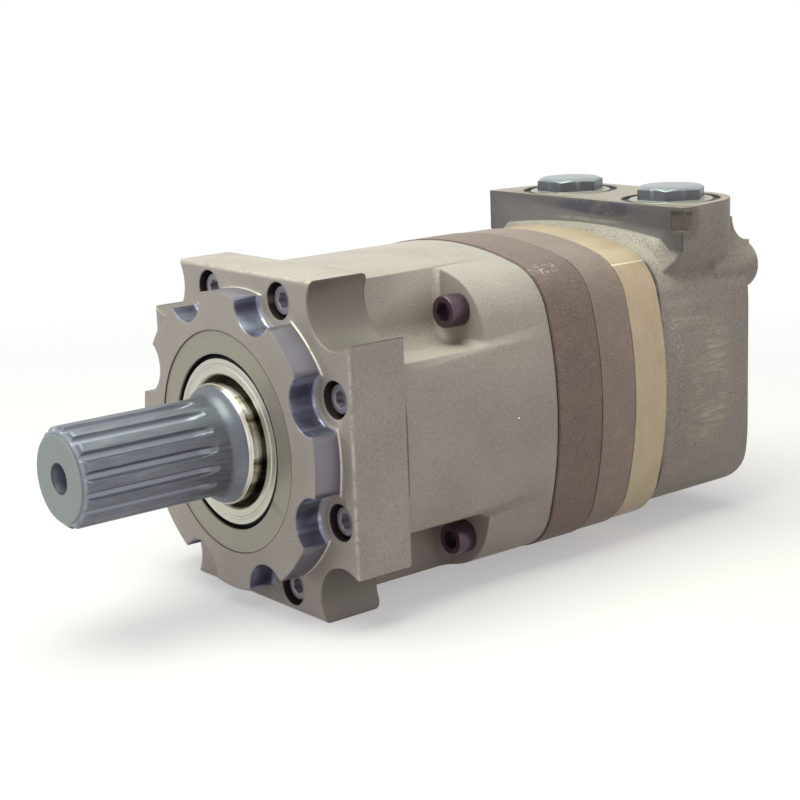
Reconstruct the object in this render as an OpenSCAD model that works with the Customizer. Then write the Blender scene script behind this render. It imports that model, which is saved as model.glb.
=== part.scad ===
// Orbital hydraulic motor: square flange, splined shaft, stacked sections and two top ports.
// The shaft axis is Y and the shaft points along -Y. The ports point along +Z.
// The origin is on the shaft axis, in the plane of the mounting face.

/* [Mounting flange] */
// Amount by which the square flange plate stands out past the bearing housing
flange_margin = 1.7; // [0.5:0.1:3]
// Thickness of the flange plate behind its mounting face
flange_t = 38; // [34:0.5:42]
// Diameter of the locating pilot
pilot_d = 165.1; // [160:0.1:168]
// Height of the pilot in front of the mounting face
pilot_h = 17; // [14:0.5:20]
// Diameter of the circle of the four customer bolts in the corner notches
corner_circle_d = 224.5; // [220:0.5:228]
// Radius of each open corner notch
corner_notch_r = 21.5; // [19:0.25:22.5]
// Distance of the circle of the eight flange screws inside the flange's sides
screw_inset = 7; // [6:0.25:9]
// Nominal thread diameter of a flange screw
screw_d = 10; // [8:1:12]
// Diameter of a flange screw's head
screw_head_d = 16; // [14:0.5:17]
// Diameter of the recess around a flange screw's head
screw_recess_d = 20.4; // [18:0.2:21]
// Depth of a flange screw's head below the mounting face
screw_recess = 3.2; // [2:0.2:6]
// Radius of each scallop cut through the pilot beside a flange screw
scallop_r = 16.5; // [14:0.25:17]
// Radius of the rounded foot that the cutter leaves in a scallop
scallop_foot_r = 3.5; // [2:0.25:5]
// Radius of the fillet between the pilot and the mounting face
pilot_foot_r = 1; // [0.5:0.1:1.5]
// Diameter of the turned face inside the pilot
turned_face_d = 122.8; // [118:0.2:128]
// Depth of the turned face below the pilot's front
turned_face_step = 0.6; // [0.3:0.1:1.2]

/* [Section outline] */
// Distance from the axis to the middle of a side of the bearing housing and the roller ring
section_half = 90.8; // [88:0.1:92]
// Amount by which the wear plate stands out past the roller ring
wear_proud = 0.6; // [0:0.1:1.2]
// Amount by which the valve plate lies back from the roller ring
plate_inset = 0.8; // [0:0.1:1.6]
// Amount by which the valve housing lies back from the roller ring
valve_inset = 4.8; // [3:0.1:6]
// Radius of the gently bulged sides
side_arc_r = 220; // [180:5:300]
// Radius of the four long corners
section_corner_r = 34; // [28:0.5:38]
// Depth of the fine step where two sections meet
joint_step = 0.8; // [0.4:0.1:1.2]
// Slope of the turned chamfer at the valve housing's front, from the face plane
front_slope = 22; // [10:1:40]
// Distance of that chamfer's inner edge inside the valve housing's sides
front_land = 2; // [1:0.25:4]

/* [Section lengths] */
// Length of the bearing housing behind the flange plate
housing_l = 108.5; // [106:0.5:112]
// Thickness of the wear plate
wear_t = 34.5; // [32:0.5:38]
// Thickness of the roller ring
ring_t = 28; // [26:0.5:34]
// Thickness of the valve plate
plate_t = 27.5; // [25:0.5:32]
// Length of the valve housing
valve_l = 85.5; // [84:0.5:92]

/* [Corner pockets and tie bolts] */
// Distance from a tie bolt's axis to the two walls of its pocket
pocket_side = 18.5; // [16:0.5:20]
// Length of a corner pocket behind the flange plate
pocket_l = 60; // [56:0.5:64]
// Radius of the fillets at the rear end of a corner pocket
pocket_end_r = 5; // [3:0.5:7]
// Distance of each tie bolt's axis inside the sides of the bearing housing
tie_inset = 26.3; // [25:0.1:28]
// Nominal diameter of a tie bolt
tie_d = 12; // [10:0.5:12]
// Diameter of a tie bolt's head
tie_head_d = 18; // [16:0.5:19]
// Height of a tie bolt's head
tie_head_h = 12; // [8:0.5:13]
// Length of tie bolt thread in the valve housing
tie_grip = 26; // [20:0.5:32]
// Depth of the shallow waist of the bearing housing
waist_depth = 2.5; // [1:0.25:3]

/* [Output shaft] */
// Distance from the mounting face to the tip of the shaft
shaft_reach = 118.4; // [112:0.2:126]
// Outside diameter of the output splines
spline_od = 53.98; // [52:0.02:55]
// Root diameter of the output splines
spline_root_d = 48.8; // [47:0.1:50]
// Number of output splines
spline_teeth = 16; // [12:1:20]
// Distance from the mounting face to the end of the spline run-out
spline_end = 38; // [34:0.5:42]
// Diameter of the polished sealing journal
journal_d = 67.1; // [66:0.1:68]
// Distance from the mounting face to the front edge of the journal
journal_reach = 21.3; // [19:0.1:24]
// Tapping diameter of the thread in the shaft end
end_tap_d = 15.5; // [12:0.1:17]
// Depth of the thread in the shaft end
end_tap_depth = 34; // [28:0.5:40]
// Diameter of the bearing seats on the shaft
seat_d = 65; // [64:0.1:66]

/* [Bearings] */
// Outside diameter of each tapered roller bearing
bearing_od = 110; // [108:0.5:112]
// Width of a bearing's outer cup
cup_w = 25; // [24:0.5:26]
// Width of a bearing's inner cone
cone_w = 31; // [30:0.5:32]
// Number of tapered rollers in a bearing
taper_count = 20; // [16:1:22]
// Free distance between the backs of the two bearing cups
cup_gap = 41.8; // [40:0.1:44]

/* [Power section] */
// Distance of each roller's axis from the motor's axis
roller_circle_r = 58; // [56.5:0.1:59.5]
// Radius of a roller
roller_r = 10.5; // [9.8:0.05:11]
// Distance of the star's axis from the motor's axis
eccentricity = 3.8; // [3.4:0.05:4]
// Clearance between the star and the rollers
star_clearance = 0.15; // [0.1:0.01:0.25]

/* [Drives] */
// Pitch radius of the main drive's splines
drive_pitch_r = 22.5; // [22:0.1:23]
// Radius of the main drive between its heads
drive_shank_r = 17; // [14:0.25:18]
// Pitch radius of the valve drive's rear splines
pilot_pitch_r = 16.4; // [16:0.1:17]
// Number of teeth on each drive spline
drive_teeth = 12; // [10:1:14]

/* [Ports] */
// Distance between the two port axes
port_spacing = 88; // [84:0.5:92]
// Distance from the mounting face to the port axes
port_y = 290; // [288:0.5:292]
// Height of the port face above the middle of the valve housing's top
port_rise = 18.5; // [16:0.1:22]
// Diameter of each port's spot face
spot_face_d = 60.8; // [58:0.2:62]
// Depth of each port's spot face
spot_face_depth = 1.6; // [1:0.1:2.5]
// Tapping diameter of the port threads
port_tap_d = 32; // [30:0.1:33]
// Width across the flats of a port plug's hexagon
plug_flats = 38.1; // [36:0.1:40]
// Height of a port plug above the port face
plug_rise = 7.8; // [6:0.1:12]

/* [Hidden] */

// Smoothness of turned parts and of the widest arcs
turned_fn = 96;
wide_fn = 240;
small_fn = 40;
// Small amount by which a cut runs past a face
cut = 1;
// Radial play of a fixed round part in its seat, and of a running one
seat_play = 0.03;
running_play = 0.06;
// Axial play of the parts that turn between two plates
face_play = 0.03;

// Half widths of the flange and the valve housing, and the height of the port face
flange_w = 2 * (section_half + flange_margin);
valve_half = section_half - valve_inset;
port_z = valve_half + port_rise;

// Planes where the sections meet
housing_y = flange_t;
wear_y = housing_y + housing_l;
ring_y = wear_y + wear_t;
plate_y = ring_y + ring_t;
valve_y = plate_y + plate_t;
rear_y = valve_y + valve_l;

// Flange screws
screw_angles = [22.5:45:337.5];
screw_circle_r = flange_w / 2 - screw_inset;
screw_hole_play = 0.5;
screw_grip = 16;
screw_socket = 8;

// Corner notches, pockets and tie bolts
corner_offset = corner_circle_d / 2 / sqrt(2);
tie_offset = section_half - tie_inset;
pocket_half = tie_offset - pocket_side;
pocket_corner_r = 12;
pocket_end_y = housing_y + pocket_l;
tie_hole_r = tie_d / 2 + 0.6;
tie_socket = 10;
tap_room = 4;
pin_offset = section_half - 9.3;
pin_r = 2.5;
pin_depth = 7;
pin_room = 1;
waist_r = 190;
waist_y = housing_y + 26;
flange_front_r = 2.5;
flange_rear_r = 5;

// Bores of the flange, from front to rear
dust_bore_r = 48.6;
dust_bore_depth = 19;
seal_bore_r = 45;
seal_bore_depth = 17;
throat_r = 35;
throat_t = 5;
spigot_r = 60;
spigot_l = 4;
cavity_r = 50;

// Bearings: the raceway lines are measured at the middle of the tapered rollers
seat_r = seat_d / 2;
cup_r = bearing_od / 2;
cup_angle = 14;
cone_angle = 10.5;
taper_angle = (cup_angle + cone_angle) / 2;
taper_half = (cup_angle - cone_angle) / 2;
taper_l = 19;
taper_mid_r = 4.1;
taper_play = 0.15;
taper_circle_r = (seat_r + cup_r) / 2 - 0.5;
taper_large_r = taper_mid_r + taper_l / 2 * tan(taper_half);
taper_small_r = taper_mid_r - taper_l / 2 * tan(taper_half);
cone_lead = 3;
cup_shoulder = 6;
front_cup_y = housing_y + spigot_l + 0.2;
rear_cup_y = front_cup_y + cup_w + cup_gap;
front_cone_y = front_cup_y - cone_lead;
rear_cone_end = rear_cup_y + cup_w + cone_lead;
collar_r = 39.5;
collar_l = 13.7;
collar_y = front_cone_y - collar_l;
nut_t = 7;
nut_r = 42;
shaft_end_y = rear_cone_end + nut_t + 0.8;

// Shaft
end_y = -shaft_reach;
spline_r = spline_od / 2;
spline_root_r = spline_root_d / 2;
journal_r = journal_d / 2;
tip_chamfer = 1.8;
neck_fillet_r = 9;
runout_l = 13;

// Drives: centres of the four spline meshes along the axis
drive_front_y = rear_cup_y - 1;
drive_front_half = 11;
drive_rear_half = 7.25;
drive_rear_y = ring_y + 1.5 + drive_rear_half;
valve_head_half = 2.8;
valve_head_y = plate_y - 0.8 - valve_head_half;
valve_mesh_half = 5.5;
valve_mesh_y = valve_y + 10;
spacer_t = 1.4;
spacer_y = drive_rear_y + drive_rear_half + 1.9;
spacer_r = 18;
// Drive splines: shares of the pitch, and reach from the pitch radius
inner_tooth_share = 0.416;
head_space_share = 0.535;
inner_tip_drop = 1.1;
head_tip_rise = 1.4;
head_root_drop = 1.9;
spline_bore_r = drive_pitch_r + 2.1;
drive_tilt = atan2(eccentricity, drive_rear_y - drive_front_y);
valve_tilt = atan2(eccentricity, valve_mesh_y - valve_head_y);

// Valve parts
disc_r = 50;
disc_t = 14;
plate_port_circle_r = disc_r - 6;
plate_port_r = 5;
notch_depth = 11;
notch_w = 10;
feed_circle_r = disc_r - 8;
feed_hole_r = 4.5;
valve_t = 21.5;
chamber_r = 56;
chamber_l = valve_t + 0.3;
balance_r = 44;
balance_y = valve_y + valve_t + 0.5;
balance_t = 15;
balance_inner_r = 24;
balance_bore_end = balance_y + balance_t + 6;
balance_groove_y = balance_y + 5;
balance_groove_w = 3.4;
balance_wire = 1.2;
balance_groove_room = 0.2;
spring_seat = 10;
spring_pocket_r = 4;
spring_wire_r = 0.7;
spring_play = 0.3;
gallery_r = 10;

// Ports
plug_flange_r = 25.8;
plug_shank_l = 17;
port_groove = 1.5;
port_chamfer = 3;
port_depth = 26;
pad_half = valve_half - 1.5;
pad_front_y = 256;
pad_round_r = 36;
pad_straight_l = 12;
boss_x = valve_half - 23;
boss_z = valve_half - 25;
boss_r = 16;
boss_rim_r = 5;
boss_l = 42;
boss_end_y = rear_y + 12;
web_w = 22;
web_r = 16;
web_drop = 6;
shoulder_rise = 4;
shoulder_arc_r = 450;
skirt_z = valve_half - 6;
skirt_in = 20;
skirt_drop = 26;
flare_lead = 5;
flare_w = 36;
flare_slope = 1.6;
valley_lead = 13;
valley_sweep_r = 316;
valley_turn = 5.2;
valley_low = 75;
valley_high = 40;
valley_r = 12;
valley_depth = 0.8;
scoop_r = 9;
scoop_h = 11;
scoop_top = 3;
drain_r = 7;
drain_head_r = 10;
drain_sink = 5;
drain_depth = 16;
drain_seal_t = 1.2;
drain_way_r = 3;
drain_way_l = 57.5;
drain_socket = 8;

// Section seals
seal_circle_r = tie_offset * sqrt(2) - 15.7;
seal_wire_r = 1.5;
seal_groove_room = 0.4;
flange_seal_r = spigot_r + 4;

// Roller kinematics: the star's profile is the inner parallel of the rollers' path
lobes = 6;
rollers = lobes + 1;
function roller_angle(k) = 90 + 360 * k / rollers;
function path_x(b) = roller_circle_r * cos(b) - eccentricity * cos(rollers * b);
function path_z(b) = roller_circle_r * sin(b) - eccentricity * sin(rollers * b);
function path_dx(b) = -roller_circle_r * sin(b) + rollers * eccentricity * sin(rollers * b);
function path_dz(b) = roller_circle_r * cos(b) - rollers * eccentricity * cos(rollers * b);
function star_point(b, inset) =
  let (dx = path_dx(b), dz = path_dz(b), n = sqrt(dx * dx + dz * dz))
  [path_x(b) - inset * dz / n, path_z(b) + inset * dx / n];

// Placing helpers: a slice stands a flat outline across the axis, a turned part revolves
// an outline of [radius, y] points about the axis.
module slice(y0, y1) {
  translate([0, y1, 0])
    rotate([90, 0, 0])
      linear_extrude(y1 - y0)
        children();
}

module turned(fn = turned_fn) {
  rotate([-90, 0, 0])
    rotate_extrude($fn = fn)
      children();
}

module rod_y(r, y0, y1, fn = turned_fn) {
  translate([0, y0, 0])
    rotate([-90, 0, 0])
      cylinder(r = r, h = y1 - y0, $fn = fn);
}

module tube_y(r_out, r_in, y0, y1) {
  difference() {
    rod_y(r_out, y0, y1);
    rod_y(r_in, y0 - cut, y1 + cut);
  }
}

module around(angles) {
  for (a = angles)
    rotate([0, -a, 0])
      children();
}

module at_four(offset) {
  for (sx = [-1, 1])
    for (sz = [-1, 1])
      translate([sx * offset, 0, sz * offset])
        children();
}

// Square with four bulged sides, rounded corners that meet the sides without an edge
module bulged_square(half) {
  centre = (-(side_arc_r - half) + sqrt(2 * pow(side_arc_r - section_corner_r, 2)
           - pow(side_arc_r - half, 2))) / 2;
  lean = atan2(centre, centre + side_arc_r - half);
  reach = centre + section_corner_r * sin(lean);
  intersection() {
    intersection_for(a = [0:90:270])
      rotate(a)
        translate([half - side_arc_r, 0])
          circle(r = side_arc_r, $fn = wide_fn);
    union() {
      square([2 * half + cut, 2 * reach], center = true);
      square([2 * reach, 2 * half + cut], center = true);
      for (a = [0:90:270])
        rotate(a)
          translate([centre, centre])
            circle(r = section_corner_r, $fn = turned_fn);
    }
  }
}

// Rectangle along the axis with its front and rear corners rounded
module soft_rect(y0, y1, half, front_r, rear_r) {
  translate([y0 + front_r, -half])
    square([y1 - y0 - front_r - rear_r, 2 * half]);
  translate([y0, -half + front_r])
    square([front_r + cut, 2 * (half - front_r)]);
  translate([y1 - rear_r - cut, -half + rear_r])
    square([rear_r + cut, 2 * (half - rear_r)]);
  for (s = [-1, 1]) {
    translate([y0 + front_r, s * (half - front_r)])
      circle(r = front_r, $fn = small_fn);
    translate([y1 - rear_r, s * (half - rear_r)])
      circle(r = rear_r, $fn = small_fn);
  }
}

// A block whose front and rear edges are rounded on all four sides
module soft_block(y0, y1, half, front_r, rear_r) {
  wide = 2 * half + 2 * cut;
  intersection() {
    translate([-wide / 2, 0, 0])
      rotate([90, 0, 90])
        linear_extrude(wide)
          soft_rect(y0, y1, half, front_r, rear_r);
    translate([0, 0, -wide / 2])
      rotate([0, 0, 90])
        linear_extrude(wide)
          soft_rect(y0, y1, half, front_r, rear_r);
  }
}

// A plate of the stack, with a fine step at both faces where the joints show
module section_plate(half, y0, y1) {
  slice(y0, y0 + joint_step)
    bulged_square(half - joint_step);
  slice(y0 + joint_step, y1 - joint_step)
    bulged_square(half);
  slice(y1 - joint_step, y1)
    bulged_square(half - joint_step);
}

module tie_holes(y0, y1, r = tie_hole_r) {
  at_four(tie_offset)
    rod_y(r, y0, y1, small_fn);
}

module pin_holes(y0, y1) {
  for (s = [-1, 1])
    translate([s * pin_offset, 0, 0])
      rod_y(pin_r + seat_play, y0, y1, small_fn);
}

// A round seal's groove in the face at y, cut towards +Y
module seal_groove(circle_r, y) {
  side = seal_wire_r + seal_groove_room;
  tube_y(circle_r + side, circle_r - side, y - cut, y + 2 * seal_wire_r);
}

module round_seal(circle_r, wire_r, y) {
  turned()
    translate([circle_r, y])
      circle(r = wire_r, $fn = 20);
}

// Cap screw along +Y with its head's top at y0, and a hexagon socket
module cap_screw(y0, head_r, head_h, shank_r, shank_l, socket_flats) {
  edge = 0.8;
  difference() {
    turned(small_fn)
      polygon([[0, y0], [head_r - edge, y0], [head_r, y0 + edge], [head_r, y0 + head_h],
               [shank_r, y0 + head_h], [shank_r, y0 + head_h + shank_l - edge],
               [shank_r - edge, y0 + head_h + shank_l], [0, y0 + head_h + shank_l]]);
    rod_y(socket_flats / sqrt(3), y0 - cut, y0 + head_h / 2, 6);
  }
}

// Straight-sided spline teeth around a bore, pointing inwards
module inner_teeth(pitch_r, bore_r, y0, y1) {
  width = 2 * PI * pitch_r / drive_teeth * inner_tooth_share;
  tip = pitch_r - inner_tip_drop;
  for (k = [0:drive_teeth - 1])
    rotate([0, -(k + 0.5) * 360 / drive_teeth, 0])
      translate([tip, y0, -width / 2])
        cube([bore_r + 0.5 - tip, y1 - y0, width]);
}

// A crowned spline head about the origin, its axis along Y
module spline_head(pitch_r, half_l, crown) {
  outer = pitch_r + head_tip_rise;
  root = pitch_r - head_root_drop;
  width = 2 * PI * pitch_r / drive_teeth * head_space_share;
  difference() {
    turned()
      polygon([[0, -half_l], [root, -half_l], [outer - crown, -half_l + 1],
               [outer - crown / 4, -half_l / 2], [outer, 0], [outer - crown / 4, half_l / 2],
               [outer - crown, half_l - 1], [root, half_l], [0, half_l]]);
    for (k = [0:drive_teeth - 1])
      rotate([0, -(k + 0.5) * 360 / drive_teeth, 0])
        translate([root, -half_l - cut, -width / 2])
          cube([outer, 2 * half_l + 2 * cut, width]);
  }
}

module flange_outline() {
  difference() {
    square([flange_w, flange_w], center = true);
    for (sx = [-1, 1])
      for (sz = [-1, 1])
        translate([sx * corner_offset, sz * corner_offset])
          circle(r = corner_notch_r, $fn = turned_fn);
    for (sx = [-1, 1])
      for (sz = [-1, 1])
        translate([sx * (corner_offset + corner_notch_r / 2), sz * (corner_offset + corner_notch_r / 2)])
          square(corner_notch_r, center = true);
  }
}

// End mill with a rounded corner, its flat end in the mounting face, that cuts a scallop
module scallop_cutter() {
  turned(small_fn) {
    translate([0, -pilot_h - cut])
      square([scallop_r, pilot_h + cut - scallop_foot_r]);
    translate([0, -2 * scallop_foot_r])
      square([scallop_r - scallop_foot_r, 2 * scallop_foot_r]);
    translate([scallop_r - scallop_foot_r, -scallop_foot_r])
      circle(r = scallop_foot_r, $fn = small_fn);
  }
}

module pilot() {
  pilot_r = pilot_d / 2;
  sunk = 0.01;
  difference() {
    union() {
      rod_y(pilot_r, -pilot_h, sunk);
      difference() {
        tube_y(pilot_r + pilot_foot_r, pilot_r - cut, -pilot_foot_r, sunk);
        turned()
          translate([pilot_r + pilot_foot_r, -pilot_foot_r])
            circle(r = pilot_foot_r, $fn = small_fn);
      }
    }
    around(screw_angles)
      translate([screw_circle_r, 0, 0])
        scallop_cutter();
  }
}

module mounting_flange() {
  color([0.66, 0.64, 0.60])
    difference() {
      union() {
        intersection() {
          slice(0, flange_t)
            flange_outline();
          soft_block(0, flange_t, flange_w / 2, flange_front_r, flange_rear_r);
        }
        pilot();
        rod_y(spigot_r, flange_t - cut, flange_t + spigot_l);
      }
      rod_y(turned_face_d / 2, -pilot_h - cut, -pilot_h + turned_face_step);
      rod_y(dust_bore_r, -pilot_h - cut, -pilot_h + dust_bore_depth);
      rod_y(seal_bore_r, -pilot_h, -pilot_h + dust_bore_depth + seal_bore_depth);
      rod_y(throat_r, 0, flange_t);
      rod_y(cavity_r, -pilot_h + dust_bore_depth + seal_bore_depth + throat_t, flange_t + spigot_l + cut);
      around(screw_angles)
        translate([screw_circle_r, 0, 0]) {
          rod_y(screw_recess_d / 2, -pilot_h, screw_recess + screw_d, small_fn);
          rod_y(screw_d / 2 + screw_hole_play, 0, flange_t + cut, small_fn);
        }
    }
}

module flange_screws() {
  color([0.33, 0.33, 0.35])
    around(screw_angles)
      translate([screw_circle_r, 0, 0])
        cap_screw(screw_recess, screw_head_d / 2, screw_d, screw_d / 2,
                  flange_t - screw_recess - screw_d + screw_grip, screw_socket);
}

module flange_seal() {
  color([0.12, 0.12, 0.12])
    round_seal(flange_seal_r, seal_wire_r, housing_y + seal_wire_r);
}

// Metal-cased dust seal whose lip runs on the journal
module dust_seal() {
  sink = 1.4;
  y0 = -pilot_h + sink;
  seat_room = 6;
  lip_room = 3.1;
  step = 1.5;
  y1 = -pilot_h + dust_bore_depth - seat_room;
  case_in = journal_r + lip_room;
  case_out = dust_bore_r - step;
  rim = 4;
  lip = 1.2;
  color([0.74, 0.73, 0.68])
    turned()
      polygon([[case_in, y0 + 1], [case_in + 1, y0], [case_out, y0], [case_out, y0 + rim],
               [dust_bore_r - seat_play, y0 + rim + 1], [dust_bore_r - seat_play, y1],
               [journal_r + running_play, y1], [journal_r + running_play, y1 - lip],
               [case_in, y1 - rim]]);
}

module shaft_seal() {
  lead = 3;
  seal_l = 11;
  lip = 2;
  heel = 4;
  y0 = -pilot_h + dust_bore_depth + lead;
  y1 = y0 + seal_l;
  color([0.16, 0.15, 0.15])
    turned()
      polygon([[seal_bore_r - seat_play, y0], [seal_bore_r - seat_play, y1], [journal_r + heel - 1, y1],
               [journal_r + running_play, y1 - 2 * lip], [journal_r + running_play, y1 - 3 * lip],
               [journal_r + heel, y0 + lip], [journal_r + heel, y0]]);
}

module backup_ring() {
  ring_l = 2.7;
  y1 = -pilot_h + dust_bore_depth + seal_bore_depth;
  color([0.72, 0.70, 0.62])
    tube_y(seal_bore_r - seat_play, journal_r + 0.4, y1 - ring_l, y1);
}

// Half section of a corner pocket's cutter: a wall at w0, its far side at w1, a rounded end
module pocket_section(w0, w1) {
  y0 = housing_y - cut;
  translate([w0, y0])
    square([w1 - w0, pocket_end_y - pocket_end_r - y0]);
  translate([w0 + pocket_end_r, y0])
    square([w1 - w0 - pocket_end_r, pocket_end_y - y0]);
  translate([w0 + pocket_end_r, pocket_end_y - pocket_end_r])
    circle(r = pocket_end_r, $fn = small_fn);
}

// Cutter of the pocket at +X, +Z: two straight walls and a turned inner corner
module pocket_cutter() {
  reach = 2 * section_half;
  middle = pocket_half + pocket_corner_r;
  translate([middle, 0, 0])
    rotate([90, 0, 90])
      linear_extrude(reach)
        mirror([1, 0])
          rotate(90)
            pocket_section(pocket_half, reach);
  translate([0, 0, middle])
    linear_extrude(reach)
      pocket_section(pocket_half, reach);
  translate([middle, 0, middle])
    turned(small_fn)
      mirror([1, 0])
        pocket_section(-pocket_corner_r, 0);
}

module bearing_housing() {
  color([0.64, 0.61, 0.57])
    difference() {
      union() {
        slice(housing_y, wear_y - joint_step)
          bulged_square(section_half);
        slice(wear_y - joint_step, wear_y)
          bulged_square(section_half - joint_step);
      }
      for (sx = [0, 1])
        for (sz = [0, 1])
          mirror([sx, 0, 0])
            mirror([0, 0, sz])
              pocket_cutter();
      for (a = [0:90:270])
        rotate([0, a, 0])
          translate([-2 * section_half, waist_y, section_half - waist_depth + waist_r])
            rotate([0, 90, 0])
              cylinder(r = waist_r, h = 4 * section_half, $fn = wide_fn);
      rod_y(spigot_r + seat_play, housing_y - cut, front_cup_y);
      rod_y(cup_r + seat_play, housing_y, front_cup_y + cup_w);
      rod_y(cup_r - cup_shoulder, housing_y, wear_y + cut);
      rod_y(cup_r + seat_play, rear_cup_y, wear_y + cut);
      seal_groove(flange_seal_r, housing_y);
      seal_groove_rear(wear_y);
      tie_holes(pocket_end_y - cut, wear_y + cut);
      pin_holes(wear_y - pin_depth - pin_room, wear_y + cut);
      around(screw_angles)
        translate([screw_circle_r, 0, 0])
          rod_y(screw_d / 2 + seat_play, housing_y - cut, housing_y + screw_grip + tap_room, small_fn);
    }
}

// A round seal's groove in the face at y, cut towards -Y
module seal_groove_rear(y) {
  side = seal_wire_r + seal_groove_room;
  tube_y(seal_circle_r + side, seal_circle_r - side, y - 2 * seal_wire_r, y + cut);
}

// Cup profile with its wide end at y = 0
module cup_profile() {
  mid = taper_circle_r + taper_mid_r / cos(taper_angle) + taper_play;
  wide = mid + cup_w / 2 * tan(cup_angle);
  narrow = mid - cup_w / 2 * tan(cup_angle);
  polygon([[wide, 0], [cup_r, 0], [cup_r, cup_w], [narrow, cup_w]]);
}

// Cone profile with its large rib ahead of the cup's wide end
module cone_profile() {
  mid = taper_circle_r - taper_mid_r / cos(taper_angle) - taper_play;
  half = taper_l / 2 * cos(taper_angle) + taper_large_r * sin(taper_angle) + taper_play;
  large = mid + half * tan(cone_angle);
  small = mid - half * tan(cone_angle);
  centre = cup_w / 2;
  rib = 2.6;
  lip = 1.2;
  polygon([[seat_r + seat_play, -cone_lead], [large + rib, -cone_lead], [large + rib, centre - half],
           [large, centre - half], [small, centre + half], [small + lip, centre + half],
           [small + lip, cone_w - cone_lead], [seat_r + seat_play, cone_w - cone_lead]]);
}

// Tapered rollers in a ring, large ends towards y = 0
module taper_ring() {
  for (k = [0:taper_count - 1])
    rotate([0, k * 360 / taper_count, 0])
      translate([taper_circle_r, cup_w / 2, 0])
        rotate([0, 0, taper_angle])
          rotate([-90, 0, 0])
            translate([0, 0, -taper_l / 2])
              cylinder(r1 = taper_large_r, r2 = taper_small_r, h = taper_l, $fn = 24);
}

// Pressed cage: a thin conical band with a window for each roller
module cage_band() {
  band = 0.7;
  over = taper_l / 2 + 2;
  drop = over * tan(taper_angle);
  centre = cup_w / 2;
  window_w = 2 * (taper_mid_r + 0.55);
  difference() {
    turned()
      polygon([[taper_circle_r + drop - band, centre - over], [taper_circle_r + drop + band, centre - over],
               [taper_circle_r - drop + band, centre + over], [taper_circle_r - drop - band, centre + over]]);
    for (k = [0:taper_count - 1])
      rotate([0, k * 360 / taper_count, 0])
        translate([taper_circle_r, centre, 0])
          rotate([0, 0, taper_angle])
            cube([8, taper_l + 0.6, window_w], center = true);
  }
}

module at_front_bearing() {
  translate([0, front_cup_y, 0])
    children();
}

module at_rear_bearing() {
  translate([0, rear_cup_y + cup_w, 0])
    mirror([0, 1, 0])
      children();
}

module front_bearing_cup() {
  color([0.70, 0.71, 0.73])
    at_front_bearing()
      turned()
        cup_profile();
}

module rear_bearing_cup() {
  color([0.70, 0.71, 0.73])
    at_rear_bearing()
      turned()
        cup_profile();
}

module front_bearing_cone() {
  color([0.68, 0.69, 0.71])
    at_front_bearing()
      turned()
        cone_profile();
}

module rear_bearing_cone() {
  color([0.68, 0.69, 0.71])
    at_rear_bearing()
      turned()
        cone_profile();
}

module front_tapers() {
  color([0.76, 0.77, 0.79])
    at_front_bearing()
      taper_ring();
}

module rear_tapers() {
  color([0.76, 0.77, 0.79])
    at_rear_bearing()
      taper_ring();
}

module front_cage() {
  color([0.55, 0.55, 0.56])
    at_front_bearing()
      cage_band();
}

module rear_cage() {
  color([0.55, 0.55, 0.56])
    at_rear_bearing()
      cage_band();
}

module bearing_spacer() {
  wall = 4.5;
  play = 0.1;
  color([0.60, 0.61, 0.62])
    tube_y(seat_r + wall, seat_r + play, front_cone_y + cone_w, rear_cone_end - cone_w);
}

module bearing_nut() {
  slots = 4;
  slot_w = 8;
  slot_depth = 3;
  color([0.42, 0.42, 0.44])
    difference() {
      tube_y(nut_r, seat_r + seat_play, rear_cone_end, rear_cone_end + nut_t);
      for (k = [0:slots - 1])
        rotate([0, k * 360 / slots, 0])
          translate([nut_r - slot_depth, rear_cone_end - cut, -slot_w / 2])
            cube([2 * slot_depth, nut_t + 2 * cut, slot_w]);
    }
}

module housing_seal() {
  color([0.12, 0.12, 0.12])
    round_seal(seal_circle_r, seal_wire_r, wear_y - seal_wire_r);
}

module wear_plate() {
  bore_r = drive_pitch_r + head_tip_rise + 3.1;
  color([0.36, 0.33, 0.31])
    difference() {
      section_plate(section_half + wear_proud, wear_y, ring_y);
      rod_y(bore_r, wear_y - cut, ring_y + cut);
      tie_holes(wear_y - cut, ring_y + cut);
      pin_holes(wear_y - cut, ring_y + cut);
      seal_groove_rear(ring_y);
    }
}

module ring_front_seal() {
  color([0.12, 0.12, 0.12])
    round_seal(seal_circle_r, seal_wire_r, ring_y - seal_wire_r);
}

module roller_ring() {
  bore_r = roller_circle_r + 2 * eccentricity - roller_r + 0.5;
  color([0.48, 0.45, 0.42])
    difference() {
      section_plate(section_half, ring_y, plate_y);
      rod_y(bore_r, ring_y - cut, plate_y + cut);
      for (k = [0:rollers - 1])
        rotate([0, -roller_angle(k), 0])
          translate([roller_circle_r, 0, 0])
            rod_y(roller_r + running_play, ring_y - cut, plate_y + cut, 64);
      tie_holes(ring_y - cut, plate_y + cut);
      pin_holes(ring_y - cut, plate_y + cut);
    }
}

module ring_rear_seal() {
  color([0.12, 0.12, 0.12])
    round_seal(seal_circle_r, seal_wire_r, plate_y + seal_wire_r);
}

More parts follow.
